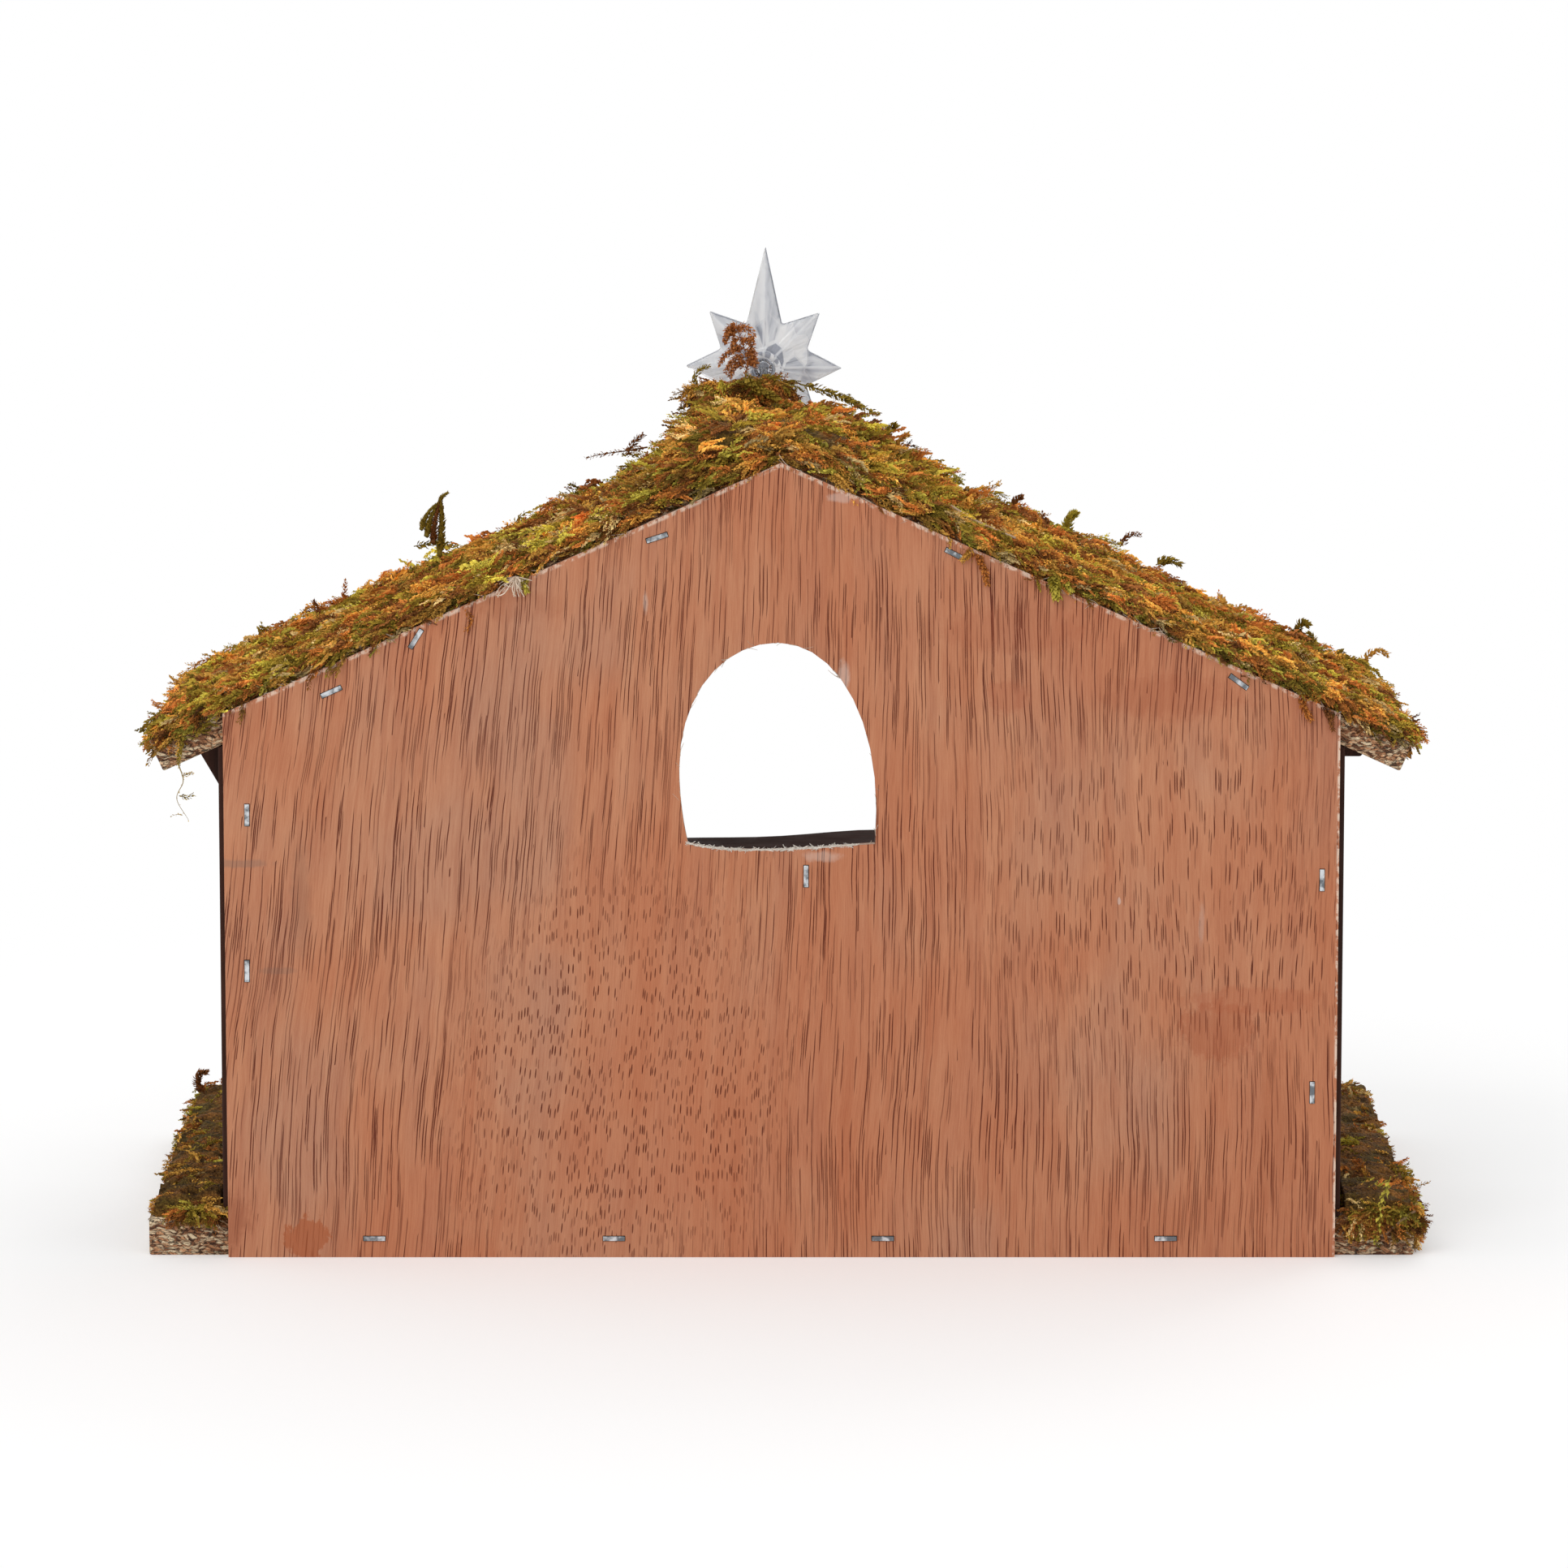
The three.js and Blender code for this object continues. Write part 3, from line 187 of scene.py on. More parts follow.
def strands(paths, radii, sides=5):
    """Tubes with pointed ends along paths (count, steps, 3). Returns points and triangles."""
    paths = np.asarray(paths, float)
    count, steps, _ = paths.shape
    radii = np.broadcast_to(radii, (count, steps))[:, :, None, None]
    along = unit(np.gradient(paths, axis=1))
    reference = np.where(np.abs(along[:, 0, 2:]) < 0.9, [0.0, 0, 1], [1.0, 0, 0])
    side = np.zeros_like(paths)
    for i in range(steps):
        t = along[:, i]
        reference = unit(reference - t * (reference * t).sum(axis=1, keepdims=True))
        side[:, i] = reference
    angle = (np.arange(sides) * 2 * np.pi / sides)[:, None]
    ring = side[:, :, None] * np.cos(angle) + np.cross(along, side)[:, :, None] * np.sin(angle)
    body = (paths[:, :, None] + ring * radii).reshape(count, steps * sides, 3)
    tips = paths[:, [0, -1]] + along[:, [0, -1]] * radii[:, [0, -1], 0] * [[-0.5], [0.5]]
    points = np.concatenate([body, tips], axis=1)
    low = np.arange((steps - 1) * sides)
    turned = low - low % sides + (low % sides + 1) % sides
    start = np.arange(sides)
    following = (start + 1) % sides
    end = (steps - 1) * sides
    one = np.vstack([
        columns(low, turned, turned + sides),
        columns(low, turned + sides, low + sides),
        columns(steps * sides, following, start),
        columns(steps * sides + 1, end + start, end + following),
    ])
    faces = one[None] + (np.arange(count) * (steps * sides + 2))[:, None, None]
    return points.reshape(-1, 3), faces.reshape(-1, 3)


def tube(points, radii, sides=6):
    return strands([points], [np.broadcast_to(radii, len(points))], sides)


def through(places, steps=24):
    """A smooth curve through places given in millimetres."""
    points = np.array(places, float) * MM
    ends = np.vstack([2 * points[0] - points[1], points, 2 * points[-1] - points[-2]])
    at = np.linspace(0, len(points) - 1, steps)
    low = np.minimum(at.astype(int), len(points) - 2)
    t = (at - low)[:, None]
    a, b, c, d = (ends[low + i] for i in range(4))
    turn = (c - a) * t + (2 * a - 5 * b + 4 * c - d) * t**2 + (3 * b - a - 3 * c + d) * t**3
    return b + turn / 2


def joined(parts):
    """Several (points, triangles, values) as one."""
    points, faces, values = zip(*parts)
    starts = np.cumsum([0] + [len(p) for p in points[:-1]])
    moved = [f + start for f, start in zip(faces, starts)]
    return np.vstack(points), np.vstack(moved), np.concatenate(values)


# Materials: short calls that make shader nodes
class Value:
    """A shader value: the signs +, - and * and abs() make Math nodes of it."""

    def __init__(self, nodes, socket):
        self.nodes = nodes
        self.socket = socket

    def __add__(self, other):
        return self.nodes.math("ADD", self, other)

    def __sub__(self, other):
        return self.nodes.math("SUBTRACT", self, other)

    def __mul__(self, other):
        return self.nodes.math("MULTIPLY", self, other)

    def __abs__(self):
        return self.nodes.math("ABSOLUTE", self)


class Nodes:
    def __init__(self, tree):
        self.tree = tree

    def node(self, kind, inputs=(), **settings):
        made = self.tree.nodes.new("ShaderNode" + kind)
        for key, value in settings.items():
            setattr(made, key, value)
        for key, value in dict(inputs).items():
            self.plug(value, made.inputs[key])
        return made

    def out(self, output, kind, inputs=(), **settings):
        return Value(self, self.node(kind, inputs, **settings).outputs[output])

    def plug(self, value, socket):
        value = getattr(value, "socket", value)
        if isinstance(value, bpy.types.NodeSocket):
            self.tree.links.new(value, socket)
        else:
            socket.default_value = value

    def math(self, operation, *values):
        return self.out(0, "Math", enumerate(values), operation=operation)

    def emission(self, strength):
        return self.out(0, "Emission", {"Color": (1, 1, 1, 1), "Strength": strength})

    def seen_directly(self):
        """1 for what the camera sees, itself or through glass and mirrors."""
        rays = self.node("LightPath").outputs
        share = rays["Is Camera Ray"]
        for other in ("Is Glossy Ray", "Is Transmission Ray"):
            share = self.math("MAXIMUM", share, rays[other])
        return share


class Look(Nodes):
    """A material. Named values go to the sockets of its shader."""

    def __init__(self, name, **sockets):
        self.material = bpy.data.materials.new(name)
        self.material.use_nodes = True
        super().__init__(self.material.node_tree)
        self.shader = self.tree.nodes["Principled BSDF"]
        for socket, value in sockets.items():
            self.shader.inputs[socket.replace("_", " ")].default_value = value
        self.place = self.out("Object", "TexCoord")

    def stretched(self, size, offset=(0, 0, 0), place=None):
        """The place divided by a size in millimetres, the same or its own along each axis."""
        scale = [1 / (float(s) * MM) for s in np.broadcast_to(size, 3)]
        inputs = {"Vector": place or self.place, "Scale": scale, "Location": offset}
        return self.out("Vector", "Mapping", inputs)

    def away(self, middle, half, place=None):
        """The distance from a middle, 1 at the half sizes away from it, all in millimetres."""
        shift = [-m / h for m, h in zip(middle, half)]
        return self.vector("LENGTH", self.stretched(half, shift, place))

    def vector(self, operation, *values):
        return self.out("Value", "VectorMath", enumerate(values), operation=operation)

    def noise(self, size, detail=3, roughness=0.55, place=None):
        inputs = {"Vector": self.stretched(size, place=place), "Scale": 1}
        return self.out("Fac", "TexNoise", {**inputs, "Detail": detail, "Roughness": roughness})

    def voronoi(self, size, output="Distance", feature="F1", place=None):
        inputs = {"Vector": self.stretched(size, place=place), "Scale": 1}
        return self.out(output, "TexVoronoi", inputs, feature=feature)

    def step(self, value, low, high, to_low=0.0, to_high=1.0):
        inputs = enumerate((value, low, high, to_low, to_high))
        return self.out(0, "MapRange", inputs, interpolation_type="SMOOTHSTEP")

    def ramp(self, value, *stops):
        made = self.node("ValToRGB", {"Fac": value})
        elements = made.color_ramp.elements
        while len(elements) < len(stops):
            elements.new(0.5)
        for element, (position, colour) in zip(elements, stops):
            element.position = position
            element.color = colour
        return Value(self, made.outputs["Color"])

    def mix(self, share, a, b, blend="MIX"):
        return self.out(2, "Mix", {0: share, 6: a, 7: b}, data_type="RGBA", blend_type=blend)

    def split(self, value=None):
        return [Value(self, part) for part in self.node("SeparateXYZ", {0: value or self.place}).outputs]

    def join(self, x, y, z=0):
        return self.out(0, "CombineXYZ", {0: x, 1: y, 2: z})

    def tint(self):
        """The colour that each point of the mesh carries."""
        return self.out("Color", "Attribute", attribute_name="tint")

    def done(self, colour, height, distance, strength=1.0, rough=None):
        """Plugs in the colour, bumps as deep as a distance in millimetres, and a roughness."""
        inputs = {"Height": height, "Distance": distance * MM, "Strength": strength}
        self.plug(self.out("Normal", "Bump", inputs), self.shader.inputs["Normal"])
        self.plug(colour, self.shader.inputs["Base Color"])
        if rough:
            self.plug(rough, self.shader.inputs["Roughness"])
        return self.material


# Marks on the panel's back, in millimetres: x, z, half width, half height, colour, strength,
# how soft the edge is
PANEL_MARKS = [
    (127, 5.5, 6.5, 6.5, (176, 94, 54), 0.7, 0.08),
    (149, 10, 7, 8, (150, 84, 58), 0.4, 0.3),
    (-117, 62, 11, 9, (168, 84, 50), 0.38, 0.15),
    (-126, 70, 20, 4, (176, 92, 58), 0.3, 0.2),
    (-132, 30, 7, 22, (160, 88, 58), 0.22, 0.5),
    (-62, 170, 22, 7, (164, 84, 54), 0.25, 0.3),
    (-104, 152, 20, 6, (160, 80, 50), 0.25, 0.3),
    (-60, 152, 6, 5, (166, 84, 54), 0.3, 0.2),
    (70, 176, 12, 4, (160, 92, 62), 0.25, 0.4),
    (144, 107, 9, 1.2, (138, 112, 98), 0.4, 0.3),
    (128, 98, 2.6, 16, (140, 100, 80), 0.3, 0.5),
    (134, 78, 5, 1, (132, 104, 90), 0.3, 0.3),
    (-11, 109, 5, 1.6, (226, 204, 190), 0.35, 0.3),
    (-16.5, 157, 1.6, 4.5, (228, 214, 204), 0.34, 0.3),
    (-15.5, 205, 3.5, 1.4, (224, 206, 196), 0.34, 0.3),
    (36, 177, 0.8, 3, (222, 206, 194), 0.3, 0.3),
    (-112, 90, 0.8, 6, (210, 186, 172), 0.25, 0.4),
    (-90, 97, 0.5, 1.2, (228, 214, 206), 0.4, 0.2),
]


def plywood():
    """Thin reddish plywood: leaning grain, dark pores in dashes, stains and fibres."""
    look = Look("luan_plywood", Roughness=0.62, Specular_IOR_Level=0.2)
    x, y, z = look.split()
    lean = look.step(x, -60 * MM, 90 * MM, 0.0, 0.1) * z
    sway = look.noise((70, 40, 110), detail=1) * (10 * MM)
    swirl = look.noise((16, 40, 22), detail=2) * (1.4 * MM)
    across = (x + lean) + (sway + swirl)
    calm = look.join(across, y, z)
    sheet = look.join(across, z)

    streak = look.noise((2.6, 8, 120), detail=4, roughness=0.6, place=calm)
    fine = look.noise((0.35, 4, 9), roughness=0.75, place=calm)
    broad = look.noise((13, 30, 60), place=calm)
    wood = look.mix(
        0.5,
        look.ramp(streak, (0.25, rgb(186, 120, 88)), (0.5, rgb(207, 144, 108)), (0.75, rgb(222, 162, 124))),
        look.ramp(broad, (0.3, rgb(186, 130, 104)), (0.5, rgb(205, 143, 108)), (0.7, rgb(198, 126, 90))),
    )
    patch = look.noise((46, 60, 62), detail=2)
    wood = look.mix(look.step(patch, 0.4, 0.62, 0.0, 0.4), wood, rgb(196, 116, 78))
    wood = look.mix(look.step(patch, 0.45, 0.3, 0.0, 0.4), wood, rgb(190, 146, 122))
    wood = look.mix(look.step(fine, 0.3, 0.75, 0.04, 0.36), wood, rgb(196, 146, 124), "MULTIPLY")

    def pores(width, length, reach, least, most, seed):
        """Dark slits in cells that wide and long, some of them chosen."""
        inputs = {"Vector": look.stretched((width, length, 1000), (seed, seed, 0), sheet)}
        inputs.update({"Scale": 1, "Randomness": 0.85})
        slit = look.node("TexVoronoi", inputs, voronoi_dimensions="2D").outputs
        red, green, _ = look.split(slit["Color"])
        dense = look.noise((9, 30, 50), detail=2, place=calm)
        chosen = look.math("LESS_THAN", red, look.step(dense, 0.32, 0.68, least, most))
        depth = look.step(slit["Distance"], reach, reach * 0.72)
        return depth * look.step(green, 0.0, 1.0, 0.45, 1.0) * chosen

    long_pores = look.math(
        "MAXIMUM", pores(0.6, 64, 0.27, 0.42, 0.68, 3.1), pores(0.58, 30, 0.27, 0.36, 0.62, 8.7)
    )
    # Flat-sawn wood with short pores at the lower left, and shorter ones at the right as well
    flat_sawn = look.away((43.7, 0, 46.5), (46, 200, 62)) + look.noise((18, 30, 18)) * 0.8
    aside = look.away((-105.4, 0, 98.8), (62, 200, 52)) + look.noise((24, 30, 30)) * 0.8
    pore = look.mix(look.step(aside, 1.6, 1.1), long_pores, pores(0.58, 13, 0.28, 0.5, 0.76, 1.7))
    pore = look.mix(look.step(flat_sawn, 1.7, 1.1), pore, pores(0.66, 5.4, 0.29, 0.42, 0.66, 5.3))
    pore = pore * look.step(look.noise((0.5, 4, 5), detail=2, place=calm), 0.3, 0.46, 0.5, 1.0)
    wood = look.mix(pore * 0.95, wood, rgb(88, 18, 2))

    ragged = look.noise((3, 20, 4), detail=5, roughness=0.7) * 1.6
    for mark_x, mark_z, half_x, half_z, tone, strength, soft in PANEL_MARKS:
        edge = look.away((mark_x, 0, mark_z), (half_x, 1000, half_z)) + ragged
        wood = look.mix(look.step(edge, 1.7 + soft, 1.7 - soft, 0.0, strength), wood, rgb(*tone))

    # Pale splinters where the saw left the gable and the side at the right
    rim = look.math(
        "MAXIMUM",
        look.step(x, PANEL_LOW.x + 0.9 * MM, PANEL_LOW.x + 0.3 * MM),
        look.step(z + abs(x) * math.tan(PITCH), PANEL_HIGH.z - 1.5 * MM, PANEL_HIGH.z - 0.7 * MM, 0.0, 0.8),
    )
    chipped = look.step(look.noise((1.6, 4, 2.4), detail=4, roughness=0.7), 0.44, 0.58)
    wood = look.mix(rim * chipped, wood, rgb(240, 212, 190))

    # The cut edges show the plies and raw fibres
    facing = look.split(look.out("Normal", "NewGeometry"))[1]
    edge = look.step(abs(facing), 0.97, 0.75) * look.step(look.noise(5), 0.4, 0.55, 0.15, 1.0)
    ply = look.math("SINE", y * (6.28 / (1.05 * MM))) * 0.35 + look.noise((2, 0.5, 2), detail=4)
    raw = look.ramp(ply, (0.2, rgb(158, 108, 82)), (0.8, rgb(238, 214, 192)))
    rough = look.step(streak, 0.2, 0.8, 0.7, 0.55)
    return look.done(look.mix(edge, wood, raw), fine * 0.3 - pore * 0.8, 0.12, rough=rough)


def chipboard():
    """Raw chipboard: pressed chips in layers, with painted shade in the gaps and hollows
    between the chips, and pale torn fibres.
    """
    look = Look("chipboard", Roughness=0.88)
    shift = look.noise((4, 4, 3)) * (3 * MM)
    place = look.out(
        "Vector", "VectorMath", {0: look.place, 1: look.join(shift, 0, shift)}, operation="ADD"
    )
    chip = (2.1, 2.1, 0.6)
    tone = look.split(look.voronoi(chip, "Color", place=place))[0]
    gap = look.voronoi(chip, "Distance", "DISTANCE_TO_EDGE", place=place)
    grit = look.noise((1.5, 1.5, 0.5), detail=4, roughness=0.7, place=place)
    layer = look.noise((9, 9, 1.6), place=place)
    wood = look.ramp(
        tone * 0.34 + grit * 0.66,
        (0.34, rgb(92, 54, 32)),
        (0.42, rgb(176, 118, 80)),
        (0.5, rgb(232, 172, 124)),
        (0.6, rgb(255, 230, 190)),
    )
    wood = look.mix(look.step(layer, 0.45, 0.65, 0.0, 0.45), wood, rgb(178, 122, 84))
    # Painted shade in the gaps between the chips
    dark = look.step(gap, 0.12, 0.0) * look.step(grit, 0.35, 0.6, 1.0, 0.3)
    wood = look.mix(dark * 0.75, wood, rgb(60, 36, 22))
    # Painted shade in the hollows of the board
    painted_hollow_shade = look.step(look.noise((2.2, 2.2, 0.9), detail=4, roughness=0.65, place=place), 0.58, 0.64)
    wood = look.mix(painted_hollow_shade * 0.85, wood, rgb(58, 34, 20))
    return look.done(wood, grit * 0.9 - (painted_hollow_shade + dark), 0.8)


def dark_wood(name, grain_axis, gloss=0.25, thin=rgb(92, 58, 42)):
    """Dark stained softwood, brushed on, thin on the high grain."""
    look = Look(name, Roughness=0.8, Specular_IOR_Level=gloss)
    size = [2.2, 2.2, 2.2]
    size[grain_axis] = 60
    grain = look.noise(size, detail=5, roughness=0.65)
    blotch = look.noise((14, 14, 20))
    wood = look.ramp(grain, (0.25, rgb(38, 20, 14)), (0.55, rgb(64, 36, 26)), (0.8, thin))
    wood = look.mix(look.step(blotch, 0.4, 0.75, 0.0, 0.5), wood, rgb(48, 27, 20))
    return look.done(wood, grain, 0.25, rough=look.step(blotch, 0.3, 0.7, 0.72, 0.88))


def strand(name, roughness, gloss=0.5):
    """Dry plant matter whose colour each strand carries in its points."""
    look = Look(name, Roughness=roughness, Specular_IOR_Level=gloss)
    grain = look.noise(0.6, detail=4)
    tone = look.ramp(grain, (0.3, (0.74, 0.72, 0.66, 1)), (0.65, (1, 1, 1, 1)))
    return look.done(look.mix(1.0, look.tint(), tone, "MULTIPLY"), grain, 0.15)


def moss_ground():
    """Fine dense moss seen between the shoots: tiny leaves, with painted shade in the gaps and
    low places.
    """
    look = Look("moss_ground", Roughness=0.9, Specular_IOR_Level=0.2)
    height = look.noise(2.4, detail=4, roughness=0.7) - look.voronoi(0.8) * 0.45
    # Painted shade: the lower the surface, the darker
    tone = look.ramp(
        height, (0.1, (0.3, 0.26, 0.2, 1)), (0.3, (0.72, 0.7, 0.62, 1)), (0.45, (1, 1, 1, 1))
    )
    return look.done(look.mix(1.0, look.tint(), tone, "MULTIPLY"), height, 1.6)


def steel(name, tone, patch_tone):
    look = Look(name, Metallic=1.0, Roughness=0.3)
    brushed = look.noise((0.25, 0.25, 1.5), detail=4, roughness=0.7)
    # The steel is darker in patches
    colour = look.mix(look.step(look.noise(2.4), 0.34, 0.6), tone, patch_tone)
    return look.done(colour, brushed, 0.03, rough=look.step(brushed, 0.2, 0.8, 0.22, 0.5))


def clear_plastic(name, tone):
    look = Look(name, IOR=1.49, Transmission_Weight=1.0, Roughness=0.05)
    wave = look.noise(3, detail=2)
    colour = look.ramp(wave, (0.3, tone), (0.7, lit(tone, 1.12)))
    return look.done(colour, wave, 0.12, 0.5, rough=look.step(wave, 0.3, 0.7, 0.03, 0.12))


def crystal():
    """Thick clear plastic with facets, with painted light and shade for its refraction and
    reflections: each of its facets its own grey, painted shade by the way it faces, bright and
    dark painted streaks that run out along the rays, and painted highlights on ridges and seams."""
    look = Look("clear_plastic", IOR=1.49, Transmission_Weight=0.55, Roughness=0.06)
    x, _, z = look.split()
    x = x - STAR_X
    z = z - STAR_Z
    radius = look.math("SQRT", x * x + z * z)
    angle = look.math("ARCTAN2", x, z)
    rays = look.join(angle * 5.5, radius * (0.09 / MM))
    # Painted bright and dark streaks of refraction along the rays, also bumps and roughness
    streak = look.out("Fac", "TexNoise", {"Vector": rays, "Scale": 1.3, "Detail": 2, "Distortion": 0.5})
    streak = streak * 0.6 + 0.22
    facets = (5, 9, 7)
    # Painted greys in patches near the middle, also bumps
    inner = look.split(look.voronoi(facets, "Color"))[0]
    facing = look.out("Normal", "NewGeometry")
    # Painted shade: each of the facets lighter or darker by the way it faces
    painted_facing_shade = look.vector("DOT_PRODUCT", facing, (0.75, 0.1, -0.65)) * 0.6
    near = look.step(radius, 17 * MM, 6 * MM)
    # The greys are painted light and shade, up to white at the brightest
    tone = look.ramp(
        (streak + painted_facing_shade) + (inner - 0.55) * (near * 1.2),
        (0.26, rgb(146, 150, 162)),
        (0.4, rgb(208, 211, 218)),
        (0.54, rgb(232, 234, 239)),
        (0.66, rgb(255, 255, 255)),
    )
    # A painted highlight along the ridge of each ray
    ridge = abs(look.math("SINE", angle * 4))
    width = look.math("DIVIDE", 2.2 * MM, look.math("MAXIMUM", radius, 4 * MM))
    line = look.step(look.math("DIVIDE", ridge, width), 1.0, 0.2, 0.0, 0.75)
    tone = look.mix(line, tone, rgb(252, 253, 255))
    # Painted highlights along the seams between the patches near the middle
    painted_seam_highlight = look.step(look.voronoi(facets, "Distance", "DISTANCE_TO_EDGE"), 0.1, 0.04) * near
    tone = look.mix(painted_seam_highlight, tone, rgb(254, 254, 255))
    return look.done(tone, streak + inner * 0.3, 0.5, rough=look.step(streak, 0.3, 0.7, 0.04, 0.14))


def moulded(name, tone, roughness=0.5, grain=0.25):
    """Moulded plastic with a fine spark-eroded texture and faint handling marks."""
    look = Look(name, Roughness=roughness)
    marks = look.noise(6, detail=4)
    colour = look.mix(look.step(marks, 0.4, 0.75, 0.0, 0.6), tone, lit(tone, 1.5, 0.004))
    rough = look.step(marks, 0.3, 0.7, roughness - 0.08, roughness + 0.1)
    return look.done(colour, look.noise(grain, detail=2), 0.03, rough=rough)


SKIN = rgb(224, 178, 146)
BLUSH = rgb(226, 152, 128)
HAIR = rgb(84, 54, 34)
INFANT_HAIR = rgb(150, 106, 66)
EYE = rgb(48, 32, 24)
EYE_WHITE = rgb(238, 230, 218)
LIPS = rgb(186, 98, 86)
BROWN_ROBE = rgb(123, 79, 49)
BELT = rgb(92, 58, 34)


def both(middle, *zone):
    """A zone at the right and the same at the left."""
    x, y, z = middle
    return (middle, *zone), ((-x, y, z), *zone)


# Painted zones of the figures in millimetres from the foot: middle, half sizes, colour, how
# soft the edge is
STANDING_ZONES = [
    ((0, -12, 20), (6.8, 12.5, 50), rgb(206, 186, 148), 0.02),
    ((-8.4, -7.4, 45.6), (4.4, 3.8, 3.8), BROWN_ROBE, 0.02),
    ((0, -9.5, 39.6), (7.2, 6, 0.9), BELT, 0.05),
    ((0, 1.6, 72.6), (6.8, 6.6, 7.6), HAIR, 0.02),
    ((0, -6.4, 71.8), (4.2, 4.4, 5), SKIN, 0.04),
    ((0, -5.6, 66.4), (3.9, 3.6, 3.7), HAIR, 0.06),
    ((0, -6.7, 69.4), (1.9, 1.4, 0.55), HAIR, 0.1),
    ((0, -6.9, 68.7), (0.95, 1.2, 0.26), LIPS, 0.15),
    *both((2.4, -4.8, 70.8), (1.3, 1.4, 1), BLUSH, 0.6),
    *both((1.7, -5.3, 72.5), (0.85, 1.2, 0.42), EYE_WHITE, 0.1),
    *both((1.65, -5.3, 72.45), (0.38, 1.2, 0.38), EYE, 0.1),
    *both((1.8, -5.2, 73.6), (1.15, 1.2, 0.24), HAIR, 0.2),
    ((13.2, -11.2, 50.4), (2.7, 3.1, 3.2), SKIN, 0.05),
    ((-2.4, -10, 46.6), (2.8, 2.4, 2.4), SKIN, 0.05),
]
KNEELING_ZONES = [
    ((0, -12, 20), (5.9, 11.5, 30), rgb(226, 206, 190), 0.02),
    ((0, -5.4, 48), (3.9, 2.9, 4.3), HAIR, 0.05),
    ((0, -7, 46.2), (3.3, 2.8, 4.5), SKIN, 0.05),
    *both((1.9, -6, 45.2), (1.1, 1.2, 0.9), BLUSH, 0.6),
    *both((1.4, -6.5, 47.1), (0.72, 1, 0.17), EYE, 0.25),
    *both((1.45, -6.4, 48.3), (0.9, 1, 0.17), HAIR, 0.3),
    ((0, -6.9, 44.4), (0.75, 1, 0.28), LIPS, 0.2),
    ((0, -11.2, 34), (2.2, 2.2, 3.7), SKIN, 0.05),
]
INFANT_ZONES = [
    ((9, 0, 3.8), (3.5, 3.3, 3.5), SKIN, 0.03),
    ((11.4, 0, 4), (1.5, 3, 3), INFANT_HAIR, 0.15),
    ((9.4, 1.05, 6.2), (0.3, 0.4, 0.6), EYE, 0.2),
    ((9.4, -1.05, 6.2), (0.3, 0.4, 0.6), EYE, 0.2),
    ((7.9, 0, 6.1), (0.22, 0.55, 0.6), LIPS, 0.2),
    ((2.6, 4.8, 6.4), (1.7, 1.3, 1.5), SKIN, 0.1),
    ((2.6, -4.8, 6.4), (1.7, 1.3, 1.5), SKIN, 0.1),
]


def figure(name, robe, foot, turn, zones, fold=(2.4, 2.4, 24)):
    """Painted resin: a robe with soft folds, painted light on their crests and painted shade in
    their hollows, and painted zones.
    """
    look = Look(name, Roughness=0.6, Specular_IOR_Level=0.4)
    place = look.out("Vector", "Mapping", {
        "Vector": look.place,
        "Location": [a * MM for a in foot],
        "Rotation": (0, 0, math.radians(turn)),
    }, vector_type="TEXTURE")
    folds = look.noise(fold, place=place)
    weave = look.noise((0.35, 0.35, 0.5), detail=2, place=place)
    # Painted light and shade: the robe lighter on the fold crests and darker in the hollows
    tone = look.ramp(folds, (0.32, lit(robe, 0.5)), (0.5, robe), (0.7, lit(robe, 1.35, 0.01)))
    for middle, half, colour, soft in zones:
        tone = look.mix(look.step(look.away(middle, half, place), 1 + soft, 1 - soft), tone, colour)
    # More painted shade in the fold hollows
    tone = look.mix(look.step(folds, 0.55, 0.3, 0.0, 0.35), tone, rgb(120, 96, 80), "MULTIPLY")
    rough = look.step(weave, 0.3, 0.7, 0.52, 0.7)
    return look.done(tone, folds * 0.8 + weave * 0.12, 0.7, rough=rough)


# By slot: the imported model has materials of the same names, so these carry a number behind a dot
LOOKS = {look.name.split(".")[0]: look for look in (
    plywood(),
    chipboard(),
    dark_wood("dark_wood", 2),
    strand("moss", 0.85, gloss=0.2),
    strand("straw", 0.65),
    steel("staple_steel", rgb(214, 217, 220), rgb(112, 116, 120)),
    crystal(),
    clear_plastic("lamp_lens", rgb(206, 210, 218)),
    clear_plastic("lead_insulation", rgb(220, 219, 216)),
    moulded("case_plastic", rgb(28, 28, 30), 0.48),
    moulded("cell_wrap", rgb(60, 88, 102), 0.3, 2.0),
    steel("contact_steel", rgb(206, 208, 210), rgb(150, 152, 154)),
    figure("robe_brown", BROWN_ROBE, STANDING_FOOT, STANDING_TURN, STANDING_ZONES),
    figure("robe_blue", rgb(63, 98, 135), KNEELING_FOOT, KNEELING_TURN, KNEELING_ZONES),
    figure("cream_cloth", rgb(230, 217, 189), INFANT_FOOT, 0, INFANT_ZONES, (1.1, 9, 2)),
)}
MOSS_GROUND = moss_ground()
# Pieces whose grain runs along X or Y
NODE_LOOKS = {
    # The shelf inside the stable gets a darker copy of the dark wood: painted shade
    "hay_shelf": dark_wood("dark_wood_across_painted_shade", 0, 0.05, rgb(72, 44, 32)),
    "manger": dark_wood("manger_wood", 0),
    "ridge_beam": dark_wood("dark_wood_along", 1),
}
# Cast figures and the star get one smooth skin: voxel in millimetres and rounds of smoothing
SKINS = {
    "standing_figure": (0.42, 5),
    "kneeling_figure": (0.42, 5),
    "infant": (0.28, 4),
    "star": (0.34, 10),
}
# Width of the worn or moulded edges of the hard pieces by slot, in millimetres
EDGES = {
    "chipboard": 1.3,
    "dark_wood": 0.5,
    "luan_plywood": 0.4,
    "staple_steel": 0.14,
    "case_plastic": 0.3,
    "cell_wrap": 0.3,
    "contact_steel": 0.05,
    "clear_plastic": 0.5,
}


